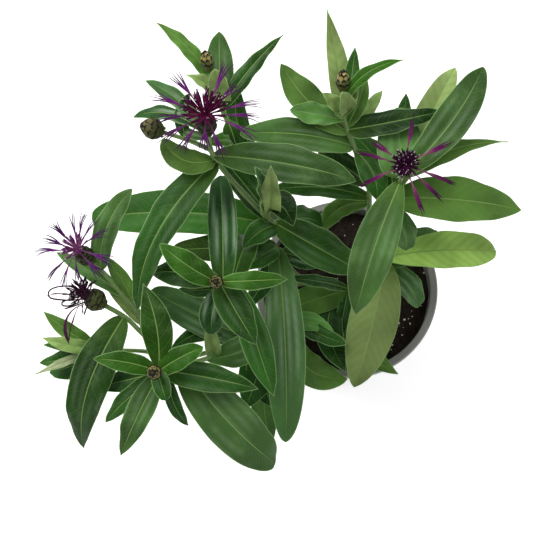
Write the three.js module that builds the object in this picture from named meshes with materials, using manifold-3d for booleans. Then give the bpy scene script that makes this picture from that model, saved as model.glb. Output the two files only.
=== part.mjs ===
// Potted mountain cornflower: a nursery pot of soil with a leaning, many-stemmed plant.
// Millimetres, +Z up. The origin is the centre of the pot's flat base.
import * as THREE from 'three';
import { mergeVertices } from 'three/addons/utils/BufferGeometryUtils.js';
import Module from 'manifold-3d';

const wasm = await Module();
wasm.setup();

// Driving dimensions of the pot
const POT_HEIGHT = 105;
const RIM_RADIUS = 65;
const BASE_RADIUS = 46;
const WALL = 1.6;
const LIP_WIDTH = 5.5;
const LIP_OUT = 3;
const LIP_HEIGHT = 8;
const FLOOR = 2.5;
const POT_SIDES = 40;
const DRAIN_HOLES = 6;
const DRAIN_RADIUS = 4;
const DRAIN_RING = 30;
const DRAIN_SIDES = 10;

// Driving dimensions of the soil and of what stands in it
const SOIL_TOP = 92;
const SOIL_RELIEF = 0.96;
const SWELL_X = 0.21;
const SWELL_Y = 0.17;
const CRUMB_SHARE = 0.7;
const CRUMB_X = 0.43;
const CRUMB_Y = 0.37;
const SOIL_SIDES = POT_SIDES / 2;
const SOIL_RINGS = 4;
const STEM_DEPTH = 18;
const STEM_CLEARANCE = 0.4;
const GAP = 0.3;

// Driving dimensions of the plant
const STEM_RADIUS = 1.9;
const STEM_SIDES = 6;
const BRANCH_RADIUS = 1.5;
const STEM_STEP = 20;
const STEM_STEPS_LEAST = 3;
const LEAF_THICK = 0.9;
const LEAF_STEP = 18.8;
const LEAF_STEPS_LEAST = 3;
const LEAF_STEPS_MOST = 7;
const LEAF_FOOT = 0.16;
const LEAF_HALF_LEAST = 0.4;
const ROLL_AT_FOOT = 0.25;
const WAVE_SLANT = 2;
const WAVE_FULL_AT = 1 / 3;
const WAVE_FULL_HALF = 4;
const SCALES_AROUND = 10;
const SCALE_ROWS = 5;
const SCALE_OUT = 1.08;
const SCALE_IN = 0.94;
const CUP_FOOT = 0.14;
const CUP_SPAN_OPEN = 0.68;
const CUP_SPAN_CLOSED = 0.86;
const CUP_FULLNESS = 0.8;
const BUD_POINT = 1.06;
const FLORET_THICK = 0.8;
const FLORET_ARCH = 0.06;
const FLORET_FOOT_HALF = 0.5;
const FLORET_THROAT = 0.55;
const FLORET_THROAT_HALF = 1.3;
const NOTCH_REACH = 0.62;
const NOTCH_SPREAD = 3.2;
const SIDE_LOBE_SHORTER = 0.7;
const NEXT_LOBE_SHORTER = 0.08;
const NEEDLE_RADIUS = 0.6;
const NEEDLE_TAPER = 0.45;
const NEEDLE_SPREAD = 0.6;
const ROOT_DEPTH = 0.75;
const HEART_DEPTH = 0.4;
const CORE_SIDES = 8;
const CORE_PROFILE = [[0, 0], [1, 0], [1, 0.8], [0.7, 1.2], [0, 1.4]];
const GOLDEN_ANGLE = 2.4;
const NEAR_UPRIGHT = 0.9;
const WELD_WITHIN = 1e-4;

// The view in which the plant was measured: places are given as [across, down, height],
// the first two in the pixels of a 533 x 533 picture and the height in mm above the ground.
const VIEW_ELEVATION = 75;
const VIEW_DISTANCE = 905;
const VIEW_FOCAL = 1268;
const VIEW_MIDDLE = 266.5;
const RIM_CENTRE_SEEN = [346.8, 287.3];

const UP = new THREE.Vector3(0, 0, 1);
const tilt = THREE.MathUtils.degToRad(VIEW_ELEVATION);
const viewRight = new THREE.Vector3(1, 0, 0);
const viewUp = new THREE.Vector3(0, Math.sin(tilt), Math.cos(tilt));
const viewForward = new THREE.Vector3(0, Math.cos(tilt), -Math.sin(tilt));

function viewRay([across, down]) {
  return viewForward.clone()
    .addScaledVector(viewRight, (across - VIEW_MIDDLE) / VIEW_FOCAL)
    .addScaledVector(viewUp, (VIEW_MIDDLE - down) / VIEW_FOCAL);
}

const eye = new THREE.Vector3(0, 0, POT_HEIGHT).addScaledVector(viewRay(RIM_CENTRE_SEEN), -VIEW_DISTANCE);

function seen([across, down, height]) {
  const ray = viewRay([across, down]);
  return eye.clone().addScaledVector(ray, (height - eye.z) / ray.z);
}

// Closed meshes, joins and cuts
function toSolid(geometry) {
  const bare = geometry.clone();
  bare.deleteAttribute('normal');
  bare.deleteAttribute('uv');
  const merged = mergeVertices(bare, WELD_WITHIN);
  return new wasm.Manifold(new wasm.Mesh({
    numProp: 3,
    vertProperties: new Float32Array(merged.attributes.position.array),
    triVerts: new Uint32Array(merged.index.array),
  }));
}

function toGeometry(solid) {
  const mesh = solid.getMesh();
  const geometry = new THREE.BufferGeometry();
  geometry.setAttribute('position', new THREE.BufferAttribute(mesh.vertProperties, 3));
  geometry.setIndex(new THREE.BufferAttribute(mesh.triVerts, 1));
  geometry.computeVertexNormals();
  return geometry;
}

function joined(solids) {
  return solids.reduce((whole, piece) => whole.add(piece));
}

function closedMesh(points, triangles) {
  const geometry = new THREE.BufferGeometry();
  const places = points.flatMap((p) => [p.x, p.y, p.z]);
  geometry.setAttribute('position', new THREE.Float32BufferAttribute(places, 3));
  geometry.setIndex(triangles);
  return geometry;
}

function tube(path, radius, sides, steps) {
  const section = new THREE.Shape();
  for (let k = 0; k < sides; k += 1) {
    const turn = (2 * Math.PI * k) / sides;
    const corner = [radius * Math.cos(turn), radius * Math.sin(turn)];
    if (k === 0) section.moveTo(...corner);
    else section.lineTo(...corner);
  }
  return toSolid(new THREE.ExtrudeGeometry(section, { steps, bevelEnabled: false, extrudePath: path }));
}

// A leaf is a thin blade along an arched midrib, folded a little along it and waved at its edges.
// "at" is the place on the stem, "tip" the place of its tip, "wide" its width in mm.
const LEAF = {
  widest: 0.5, arch: 8, bow: 0, roll: 0, point: 0.8, keel: 0.12, wave: 1.2, waves: 3,
};

function leafShape(along, { widest, point }) {
  const power = (point * widest) / (1 - widest);
  const blade = (along / widest) ** power * ((1 - along) / (1 - widest)) ** point;
  return blade + LEAF_FOOT * (1 - along) ** 4;
}

function leafPoint(base, tip, leaf, along, across) {
  const chord = tip.clone().sub(base);
  const side = new THREE.Vector3().crossVectors(chord, UP).normalize();
  const lift = new THREE.Vector3().crossVectors(side, chord).normalize();
  const hump = 4 * along * (1 - along);
  const slope = 4 * (1 - 2 * along);
  const rib = base.clone().addScaledVector(chord, along)
    .addScaledVector(lift, hump * leaf.arch)
    .addScaledVector(side, hump * leaf.bow);
  const heading = chord.clone()
    .addScaledVector(lift, slope * leaf.arch)
    .addScaledVector(side, slope * leaf.bow)
    .normalize();
  const normal = UP.clone().addScaledVector(heading, -heading.z).normalize();
  const flat = new THREE.Vector3().crossVectors(heading, normal);
  const turn = THREE.MathUtils.degToRad(leaf.roll) * (ROLL_AT_FOOT + (1 - ROLL_AT_FOOT) * along);
  const face = normal.clone().multiplyScalar(Math.cos(turn)).addScaledVector(flat, Math.sin(turn));
  const out = flat.clone().multiplyScalar(Math.cos(turn)).addScaledVector(normal, -Math.sin(turn));
  const half = Math.max(LEAF_HALF_LEAST, (leaf.wide / 2) * leafShape(along, leaf));
  const swing = Math.sin(2 * Math.PI * leaf.waves * along + WAVE_SLANT * across);
  const wave = leaf.wave * swing * Math.min(1, along / WAVE_FULL_AT) * Math.min(1, half / WAVE_FULL_HALF);
  const rise = half * leaf.keel * Math.abs(across) + wave * across ** 2;
  rib.addScaledVector(out, half * across).addScaledVector(face, rise);
  return { place: rib, face };
}

// The rows of a blade lie closer together towards its tip.
function rowPlace(share) {
  return (share + Math.sin((Math.PI / 2) * share)) / 2;
}

function leafSolid(base, tip, spec, steps) {
  const leaf = { ...LEAF, ...spec };
  const points = [];
  for (const sign of [1, -1]) {
    for (let i = 0; i <= steps; i += 1) {
      for (const across of [-1, 0, 1]) {
        const { place, face } = leafPoint(base, tip, leaf, rowPlace(i / steps), across);
        points.push(place.addScaledVector(face, (sign * LEAF_THICK) / 2));
      }
    }
  }
  const layer = 3 * (steps + 1);
  const triangles = [];
  const quad = (a, b, c, d) => triangles.push(a, b, c, a, c, d);
  for (let i = 0; i < steps; i += 1) {
    const row = 3 * i;
    quad(row, row + 1, row + 4, row + 3);
    quad(row + 5, row + 4, row + 1, row + 2);
    quad(layer + row, layer + row + 3, layer + row + 4, layer + row + 1);
    quad(layer + row + 5, layer + row + 2, layer + row + 1, layer + row + 4);
    quad(row, row + 3, layer + row + 3, layer + row);
    quad(row + 5, row + 2, layer + row + 2, layer + row + 5);
  }
  const end = layer - 3;
  for (const k of [0, 1]) {
    quad(k + 1, k, layer + k, layer + k + 1);
    quad(end + k, end + k + 1, layer + end + k + 1, layer + end + k);
  }
  return toSolid(closedMesh(points, triangles));
}

// The leafy stems. Each stem is a smooth curve through its places, from its root in the soil up.
const STEMS = {
  amethyst_shoot: {
    stem: [[330, 272, 92], [300, 243, 150], [259, 209, 212], [218, 163, 258], [210, 147, 277],
      [208, 133, 289]],
    branches: [
      [[211, 150, 273], [188, 140, 279], [172, 135, 283], [163, 132, 285]],
    ],
    leaves: [
      { name: 'c1', at: 0.9, tip: [356, 181, 244], wide: 24, arch: 3, bow: -2, point: 0.75 },
      { name: 'l3', at: 0.87, tip: [138, 310, 207],
        wide: 22, arch: 16, bow: 8, roll: 20, point: 0.8, widest: 0.4 },
      { name: 'ul4', at: 0.97, tip: [146, 81, 285], wide: 10, arch: 4, bow: 4, widest: 0.6 },
      { name: 'ul5', at: 0.99, tip: [134, 117, 274], wide: 9, arch: 6, bow: 5, widest: 0.6 },
      { name: 'ul6', at: 0.88, tip: [163, 139, 266], wide: 16, arch: 4, bow: -9, point: 0.6 },
      { name: 'ul7', on: 1, at: 0.5, tip: [190, 93, 290], wide: 9, arch: 2, bow: -4 },
      { name: 'ul9', at: 0.96, tip: [231, 142, 266], wide: 9, arch: 3, point: 0.6 },
      { name: 'ul10', at: 0.98, tip: [180, 128, 279], wide: 6, arch: 2, bow: -2 },
      { name: 'q1', at: 0.53, tip: [358, 270, 168], wide: 26, arch: 6, bow: 2, point: 0.7 },
      { name: 'q2', at: 0.5, tip: [322, 226, 150], wide: 18, arch: 4, point: 0.6, bow: -4 },
      { name: 'q3', at: 0.56, tip: [293, 226, 218], wide: 19, arch: 8, bow: -7, keel: 0.4 },
      { name: 'q4', at: 0.56, tip: [271, 166, 286], wide: 13, arch: 1, keel: 0.3, widest: 0.4 },
      { name: 'q4b', at: 0.6, tip: [255, 167, 288], wide: 11, arch: 1, keel: 0.4 },
      { name: 'q5', at: 0.5, tip: [243, 248, 202], wide: 16, arch: 5, bow: 2 },
      { name: 'q6', at: 0.54, tip: [222, 158, 216], wide: 18, arch: 3 },
      { name: 'l1', at: 0.5, tip: [92, 219, 182], wide: 29, arch: 12, bow: 3, point: 0.42, widest: 0.56 },
    ],
  },
  high_bud_shoot: {
    stem: [[324, 258, 92], [296, 214, 150], [255, 160, 205], [225, 116, 236], [215, 88, 248],
      [210, 71, 257]],
    branches: [],
    leaves: [
      { name: 'ul1', at: 0.94, tip: [157, 23, 268], wide: 9.5, arch: 4, point: 0.9, waves: 4, bow: 3 },
      { name: 'ul2', at: 0.9, tip: [219, 32, 246], wide: 18, arch: 1, point: 0.7, widest: 0.45 },
      { name: 'ul3', at: 0.88, tip: [283, 35, 258],
        wide: 11, arch: 5, bow: -1, point: 1, waves: 4, widest: 0.4 },
      { name: 'ul8', at: 0.84, tip: [236, 166, 204], wide: 16, arch: 6, bow: -2, point: 0.6 },
      { name: 'ul11', at: 0.66, tip: [237, 86, 232], wide: 15, bow: -6, arch: 2, point: 0.6 },
      { name: 'cup1', at: 0.93, tip: [187, 75, 258], wide: 10, arch: 4, widest: 0.35, keel: 0.4, point: 1 },
      { name: 'cup2', at: 0.94, tip: [226, 78, 250], wide: 9, arch: 2, widest: 0.5, keel: 0.5 },
      { name: 'cup3', at: 0.9, tip: [215, 69, 274], wide: 14, arch: 5, keel: 0.3, point: 0.5 },
    ],
  },
  upright_bud_shoot: {
    stem: [[347, 262, 92], [366, 226, 142], [368, 184, 186], [354, 148, 214], [343, 113, 236],
      [343, 91, 249]],
    branches: [],
    leaves: [
      { name: 'f1', at: 0.86, tip: [327, 10, 252], wide: 14, arch: 0, widest: 0.4, point: 1, bow: 1 },
      { name: 'f2', at: 0.87, tip: [355, 48, 252], wide: 11, arch: 4, point: 0.8 },
      { name: 'f3', at: 0.94, tip: [403, 60, 262], wide: 8, arch: 10, bow: -4.5, point: 0.9 },
      { name: 'f4', at: 0.86, tip: [365, 76, 238], wide: 11, arch: 3, bow: 2 },
      { name: 'f5', at: 0.82, tip: [382, 91, 220], wide: 9, arch: 3 },
      { name: 'f6', at: 0.84, tip: [281, 64, 240], wide: 21, arch: 3, bow: -5.5 },
      { name: 'f7', at: 0.89, tip: [290, 110, 240], wide: 15, arch: 3, bow: -1, widest: 0.6, keel: 0.2 },
      { name: 'f8', at: 0.85, tip: [443, 111, 232], wide: 16, arch: 1, bow: 1, point: 0.7, widest: 0.35 },
      { name: 'c2', at: 0.78, tip: [240, 134, 236], wide: 21, arch: 8, bow: 1, point: 0.6 },
      { name: 'c3', at: 0.53, tip: [272, 190, 184], wide: 14, arch: 3, point: 0.6, bow: 3.5 },
      { name: 'w2', at: 0.5, tip: [338, 208, 146], wide: 13, arch: 3, point: 0.6 },
      { name: 'w3', at: 0.5, tip: [321, 232, 146], wide: 14, arch: 2, point: 0.6, bow: 7 },
      { name: 'x1', at: 0.76, tip: [377, 200, 200], wide: 18, arch: 3, bow: -4 },
      { name: 'x3', at: 0.6, tip: [318, 152, 196], wide: 18, arch: 4 },
      { name: 'cup1', at: 0.9, tip: [323, 93, 250], wide: 10, arch: 2, widest: 0.5, keel: 0.5 },
      { name: 'cup2', at: 0.91, tip: [357, 89, 246], wide: 9, arch: 2, widest: 0.5, keel: 0.5 },
      { name: 'cup3', at: 0.92, tip: [342, 92, 262], wide: 12, arch: 5, keel: 0.3, point: 0.5 },
    ],
  },
  dark_flower_shoot: {
    stem: [[364, 268, 92], [376, 238, 140], [391, 202, 190], [403, 174, 226], [404, 169, 242]],
    branches: [],
    leaves: [
      { name: 's1', at: 0.84, tip: [356, 314, 178], wide: 27, arch: 16, bow: 2, point: 0.85 },
      { name: 'r0', at: 0.86, tip: [397, 108, 218], wide: 29, arch: 4, point: 0.6, widest: 0.4 },
      { name: 'r1', at: 0.72, tip: [455, 68, 214],
        wide: 20, arch: 6, bow: -1, keel: 0.3, widest: 0.6, point: 0.7 },
      { name: 'r2', at: 0.9, tip: [483, 67, 244], wide: 23, arch: 6, bow: 5.5, point: 0.65, widest: 0.56 },
      { name: 'r3', at: 0.86, tip: [508, 142, 224], wide: 13, arch: 7, bow: -5, point: 1.6, widest: 0.38 },
      { name: 'r4', at: 0.72, tip: [521, 210, 196], wide: 30, arch: 10, bow: 0.5, point: 0.8, widest: 0.46 },
      { name: 'r6', at: 0.66, tip: [406, 250, 162], wide: 17, arch: 8, bow: -1 },
      { name: 'r8', at: 0.78, tip: [406, 94, 206], wide: 14, arch: 4 },
      { name: 'x2', at: 0.66, tip: [351, 134, 184], wide: 21, arch: 3, bow: 6 },
    ],
  },
  low_right_shoot: {
    stem: [[372, 282, 92], [378, 272, 112], [384, 262, 134], [386, 257, 146]],
    branches: [],
    leaves: [
      { name: 's2', at: 0.85, tip: [354, 387, 134], wide: 33, arch: 9, bow: -2, point: 0.7 },
      { name: 's3', at: 0.75, tip: [418, 307, 112], wide: 17, arch: 9, bow: -2, keel: 0.4 },
      { name: 'r5', at: 1, tip: [496, 252, 150], wide: 26, arch: 7, bow: -1, point: 0.5, widest: 0.6 },
      { name: 'r7', at: 0.8, tip: [437, 231, 132], wide: 22, arch: 6, widest: 0.42 },
    ],
  },
  facing_bud_shoot: {
    stem: [[318, 284, 92], [286, 284, 146], [242, 284, 204], [219, 282, 230], [217, 282, 242]],
    branches: [
      [[308, 284, 110], [291, 268, 142], [277, 247, 166]],
    ],
    leaves: [
      { name: 'e1', at: 0.97, tip: [160, 244, 254], wide: 16, arch: 6, bow: -3 },
      { name: 'e2', at: 0.92, tip: [151, 273, 222], wide: 19, arch: 5, bow: 1.5, point: 0.9 },
      { name: 'e3', at: 0.98, tip: [287, 279, 236], wide: 12, arch: 7, bow: 2, point: 0.9 },
      { name: 'e4', at: 0.93, tip: [256, 344, 214], wide: 20, arch: 6, bow: 1, widest: 0.4, point: 0.9 },
      { name: 'e5', at: 0.86, tip: [213, 334, 204], wide: 16, arch: 5, bow: 4, widest: 0.6, point: 0.6 },
      { name: 'e6', at: 0.82, tip: [179, 289, 208], wide: 10, arch: 3, bow: -3 },
      { name: 't1', at: 0.9, tip: [220, 176, 226], wide: 18, arch: 12, bow: 1, point: 0.45 },
      { name: 't2', at: 0.84, tip: [249, 236, 178], wide: 18, arch: 4, keel: 0.3, point: 0.5 },
      { name: 'u1', on: 1, at: 0.97, tip: [172, 250, 192], wide: 19, arch: 6, bow: -1, point: 0.5 },
      { name: 'p1', on: 1, at: 0.98, tip: [286, 442, 150],
        wide: 26, arch: 12, bow: -2, point: 0.55, widest: 0.55 },
      { name: 'p2', at: 0.8, tip: [274, 396, 180], wide: 19, arch: 8, bow: 1, point: 1 },
      { name: 'p5', on: 1, at: 0.9, tip: [316, 265, 150], wide: 15, arch: 4, point: 0.6 },
      { name: 'p6', on: 1, at: 0.8, tip: [247, 308, 176], wide: 14, arch: 4, point: 0.6 },
      { name: 'p7', on: 1, at: 1, tip: [245, 268, 178], wide: 16, arch: 3, point: 0.6 },
    ],
  },
  front_bud_shoot: {
    stem: [[322, 306, 92], [276, 330, 140], [214, 356, 182], [161, 371, 210], [156, 372, 224]],
    branches: [],
    leaves: [
      { name: 'd1', at: 0.95, tip: [94, 359, 226], wide: 13, arch: 5, bow: 1 },
      { name: 'd2', at: 0.95, tip: [203, 347, 224], wide: 14, arch: 5, bow: 0, point: 0.6 },
      { name: 'd3', at: 0.96, tip: [166, 400, 216], wide: 11, arch: 3, point: 0.45 },
      { name: 'l6', at: 0.95, tip: [143, 284, 231], wide: 19, arch: 6, bow: 4, point: 1.1 },
      { name: 'd4', at: 0.93, tip: [121, 455, 190], wide: 17, arch: 7, bow: 0, widest: 0.45, point: 0.9 },
      { name: 'd5', at: 0.9, tip: [106, 422, 182], wide: 12, arch: 6, bow: 1 },
      { name: 'd6', at: 0.9, tip: [188, 425, 184], wide: 9, arch: 5, bow: 3.5 },
      { name: 'd7', at: 0.92, tip: [258, 389, 198], wide: 18, arch: 6, bow: 0, point: 0.9, widest: 0.4 },
      { name: 'd8', at: 0.84, tip: [275, 463, 150], wide: 32, arch: 12, bow: 4.5, point: 0.5, widest: 0.52 },
      { name: 'd9', at: 0.86, tip: [96, 387, 170], wide: 15, arch: 2, bow: -1 },
      { name: 'p3', at: 0.48, tip: [272, 406, 138], wide: 20, arch: 6, bow: 4 },
      { name: 'p4', at: 0.38, tip: [272, 444, 116], wide: 18, arch: 8, bow: 8, widest: 0.6 },
      { name: 'm3', at: 0.5, tip: [206, 360, 186], wide: 20, arch: 5, bow: -5 },
      { name: 'm4', at: 0.42, tip: [246, 408, 150], wide: 26, arch: 3 },
      { name: 'n1', at: 0.71, tip: [209, 326, 192], wide: 10, arch: 2, keel: 0.5, widest: 0.4, point: 0.5 },
      { name: 'y1', at: 0.32, tip: [335, 335, 138], wide: 13, arch: 6, bow: -3, point: 0.9, widest: 0.4 },
      { name: 'y2', at: 0.3, tip: [347, 379, 112], wide: 22, arch: 6, bow: 16, widest: 0.6 },
      { name: 'y3', at: 0.28, tip: [346, 344, 152], wide: 12, arch: 3, bow: 3, point: 0.5 },
    ],
  },
  left_flower_shoot: {
    stem: [[314, 298, 92], [262, 328, 122], [215, 350, 148], [176, 356, 170], [146, 337, 186],
      [126, 318, 198],
      [104, 305, 206]],
    branches: [
      [[144, 336, 187], [138, 314, 196], [117, 289, 210], [99, 268, 221], [92, 262, 226]],
      [[168, 355, 173], [140, 351, 167], [112, 350, 168], [100, 349, 170]],
    ],
    leaves: [
      { name: 'l2', on: 1, at: 0.86, tip: [132, 189, 246], wide: 15, arch: 5, bow: -5, point: 0.6 },
      { name: 'l4a', on: 1, at: 0.5, tip: [57, 253, 200], wide: 11, arch: 5, bow: 1 },
      { name: 'l4b', on: 1, at: 0.26, tip: [106, 257, 212], wide: 11, arch: 3, bow: 1.5 },
      { name: 'l4c', on: 1, at: 0.12, tip: [104, 282, 200], wide: 10, arch: 3, bow: 2 },
      { name: 'l5', at: 0.93, tip: [84, 448, 138], wide: 26, arch: 16, bow: 5.5, point: 1, widest: 0.4 },
      { name: 'm1', at: 0.42, tip: [151, 290, 184], wide: 25, arch: 6, bow: -3, point: 0.5 },
      { name: 'm2', at: 0.4, tip: [171, 349, 172], wide: 14, arch: 5, bow: 7 },
      { name: 'k1', on: 2, at: 1, tip: [44, 312, 184], wide: 11, arch: 3, point: 0.9, bow: -2 },
      { name: 'k2', on: 2, at: 1, tip: [43, 338, 182], wide: 10, arch: 4, point: 1, bow: -2 },
      { name: 'k3', on: 2, at: 0.95, tip: [44, 345, 172], wide: 8, arch: 3 },
      { name: 'k4', on: 2, at: 0.95, tip: [40, 363, 166], wide: 12, arch: 3, bow: -1.5 },
      { name: 'k5', on: 2, at: 1, tip: [36, 374, 176], wide: 6, arch: 2, point: 1.2 },
      { name: 'k6', on: 2, at: 0.85, tip: [50, 373, 152], wide: 18, arch: 4, bow: -2 },
    ],
  },
  crown_leaves: {
    stem: [[346, 296, 92], [347, 292, 104], [348, 289, 114]],
    branches: [],
    leaves: [
      { name: 'v1', at: 0.9, tip: [282, 312, 122], wide: 22, arch: 4, bow: 0, point: 0.6 },
      { name: 'v2', at: 0.9, tip: [338, 344, 118], wide: 10, arch: 4 },
      { name: 'v5', at: 0.6, tip: [345, 371, 134], wide: 20, arch: 8, bow: 13, widest: 0.6 },
      { name: 'v7', at: 0.7, tip: [398, 374, 112], wide: 17, arch: 4, bow: 12 },
      { name: 'v8', at: 1, tip: [288, 278, 158], wide: 9, arch: 4, point: 0.6 },
    ],
  },
};

function branchCurve(places) {
  return new THREE.CatmullRomCurve3(places.map(seen));
}

function stemCurve(places) {
  const [foot, ...rest] = places.map(seen);
  return new THREE.CatmullRomCurve3([foot.clone().setZ(SOIL_TOP - STEM_DEPTH), foot, ...rest]);
}

function curvesOf({ stem, branches }) {
  return [stemCurve(stem), ...branches.map(branchCurve)];
}

function stemTube(curve, radius) {
  const steps = Math.max(STEM_STEPS_LEAST, Math.round(curve.getLength() / STEM_STEP));
  return tube(curve, radius, STEM_SIDES, steps);
}

function leafSteps(base, tip) {
  const steps = Math.round(base.distanceTo(tip) / LEAF_STEP);
  return THREE.MathUtils.clamp(steps, LEAF_STEPS_LEAST, LEAF_STEPS_MOST);
}

function leafyStem(shoot) {
  const curves = curvesOf(shoot);
  const solids = curves.map((curve, k) => stemTube(curve, k === 0 ? STEM_RADIUS : BRANCH_RADIUS));
  for (const leaf of shoot.leaves) {
    const base = curves[leaf.on ?? 0].getPointAt(leaf.at);
    const tip = seen(leaf.tip);
    solids.push(leafSolid(base, tip, leaf, leafSteps(base, tip)));
  }
  return joined(solids);
}

// The flower heads sit on the ends of their stems and face along them. "radius" and "tall" are
// those of the scaly green cup below the florets, in mm.
const HEADS = {
  flower_a: { shoot: 'amethyst_shoot', radius: 5.6, tall: 14, open: true },
  flower_b: { shoot: 'left_flower_shoot', branch: 1, radius: 5.6, tall: 12, open: true },
  flower_c: { shoot: 'left_flower_shoot', radius: 7, tall: 12, open: true },
  flower_g: { shoot: 'dark_flower_shoot', radius: 5.4, tall: 12, open: true },
  bud_h: { shoot: 'high_bud_shoot', radius: 3.6, tall: 14 },
  bud_i: { shoot: 'amethyst_shoot', branch: 1, radius: 6.2, tall: 14 },
  bud_f: { shoot: 'upright_bud_shoot', radius: 4, tall: 15 },
  bud_e: { shoot: 'facing_bud_shoot', radius: 3.9, tall: 9 },
  bud_d: { shoot: 'front_bud_shoot', radius: 4.5, tall: 10 },
};

// The outline of a scaly cup from its seat, 0, to its mouth or pointed top, 1
function cupShape(along, open) {
  const span = open ? CUP_SPAN_OPEN : CUP_SPAN_CLOSED;
  return Math.sin(Math.PI * (CUP_FOOT + span * along)) ** CUP_FULLNESS;
}

function headAxes({ shoot, branch = 0 }) {
  const curve = curvesOf(STEMS[shoot])[branch];
  const axis = curve.getTangentAt(1);
  const seat = curve.getPointAt(1).addScaledVector(axis, GAP);
  const side = new THREE.Vector3().crossVectors(axis, UP).normalize();
  const lift = new THREE.Vector3().crossVectors(side, axis).normalize();
  return { seat, axis, side, lift };
}

// The scales overlap like roof tiles: every second corner of each ring stands out.
function scalyCup(head) {
  const { seat, axis, side, lift } = headAxes(head);
  const points = [seat.clone()];
  const rings = SCALE_ROWS + 1;
  for (let i = 0; i < rings; i += 1) {
    const along = i / SCALE_ROWS;
    for (let k = 0; k < SCALES_AROUND; k += 1) {
      const out = (i + k) % 2 === 0 ? SCALE_OUT : SCALE_IN;
      const radius = head.radius * cupShape(along, head.open) * (i === 0 ? 1 : out);
      const turn = (2 * Math.PI * k) / SCALES_AROUND;
      points.push(seat.clone()
        .addScaledVector(axis, head.tall * along)
        .addScaledVector(side, radius * Math.cos(turn))
        .addScaledVector(lift, radius * Math.sin(turn)));
    }
  }
  points.push(seat.clone().addScaledVector(axis, head.tall * (head.open ? 1 : BUD_POINT)));
  const triangles = [];
  const top = points.length - 1;
  for (let k = 0; k < SCALES_AROUND; k += 1) {
    const next = (k + 1) % SCALES_AROUND;
    triangles.push(0, 1 + k, 1 + next);
    for (let i = 0; i < SCALE_ROWS; i += 1) {
      const low = 1 + i * SCALES_AROUND;
      const high = low + SCALES_AROUND;
      triangles.push(low + k, high + k, high + next, low + k, high + next, low + next);
    }
    const last = 1 + SCALE_ROWS * SCALES_AROUND;
    triangles.push(top, last + next, last + k);
  }
  return toSolid(closedMesh(points, triangles));
}

// An outer floret is a narrow tube that opens into a few long lobes. "lobes" are its fingers.
function rayFloret(base, tip, up, lobes, spread) {
  const chord = tip.clone().sub(base);
  const long = chord.length();
  const along = chord.clone().normalize();
  const side = new THREE.Vector3().crossVectors(along, up).normalize();
  const lift = new THREE.Vector3().crossVectors(side, along);
  const outline = [[0, -FLORET_FOOT_HALF], [FLORET_THROAT, -FLORET_THROAT_HALF]];
  for (let k = 0; k < lobes; k += 1) {
    const turn = (k + 0.5) / lobes - 0.5;
    const reach = 1 - SIDE_LOBE_SHORTER * turn ** 2 - (k % 2) * NEXT_LOBE_SHORTER;
    outline.push([reach, 2 * spread * turn]);
    outline.push([NOTCH_REACH, ((k + 1) / lobes - 0.5) * NOTCH_SPREAD]);
  }
  outline.pop();
  outline.push([FLORET_THROAT, FLORET_THROAT_HALF], [0, FLORET_FOOT_HALF]);
  const points = [];
  for (const sign of [1, -1]) {
    for (const [far, off] of outline) {
      const bend = 4 * far * (1 - far) * long * FLORET_ARCH;
      points.push(base.clone()
        .addScaledVector(chord, far)
        .addScaledVector(side, off)
        .addScaledVector(lift, bend + (sign * FLORET_THICK) / 2));
    }
  }
  const count = outline.length;
  const faces = [];
  const last = count - 1;
  const notches = [1];
  for (let k = 0; k < lobes - 1; k += 1) notches.push(3 + 2 * k);
  notches.push(count - 2);
  for (let k = 0; k < lobes; k += 1) faces.push([notches[k], 2 + 2 * k, notches[k + 1]]);
  for (let k = 0; k < lobes; k += 1) faces.push([last, notches[k], notches[k + 1]]);
  faces.push([last, 0, 1]);
  const triangles = [];
  for (const [a, b, c] of faces) triangles.push(a, c, b, count + a, count + b, count + c);
  for (let k = 0; k < count; k += 1) {
    const next = (k + 1) % count;
    triangles.push(k, count + next, count + k, k, next, count + next);
  }
  return toSolid(closedMesh(points, triangles));
}

// An inner floret is a needle with a blunt foot.
function needle(base, tip, radius) {
  const axis = tip.clone().sub(base).normalize();
  const guide = Math.abs(axis.z) > NEAR_UPRIGHT ? new THREE.Vector3(1, 0, 0) : UP;
  const side = new THREE.Vector3().crossVectors(axis, guide).normalize();
  const lift = new THREE.Vector3().crossVectors(side, axis);
  const points = [];
  for (const [centre, size] of [[base, radius], [tip, radius * NEEDLE_TAPER]]) {
    for (let k = 0; k < 3; k += 1) {
      const turn = (2 * Math.PI * k) / 3;
      points.push(centre.clone()
        .addScaledVector(side, size * Math.cos(turn))
        .addScaledVector(lift, size * Math.sin(turn)));
    }
  }
  const ends = [0, 1, 2, 3, 5, 4];
  const sides = [0, 3, 4, 0, 4, 1, 1, 4, 5, 1, 5, 2, 2, 5, 3, 2, 3, 0];
  return toSolid(closedMesh(points, [...ends, ...sides]));
}

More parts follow.
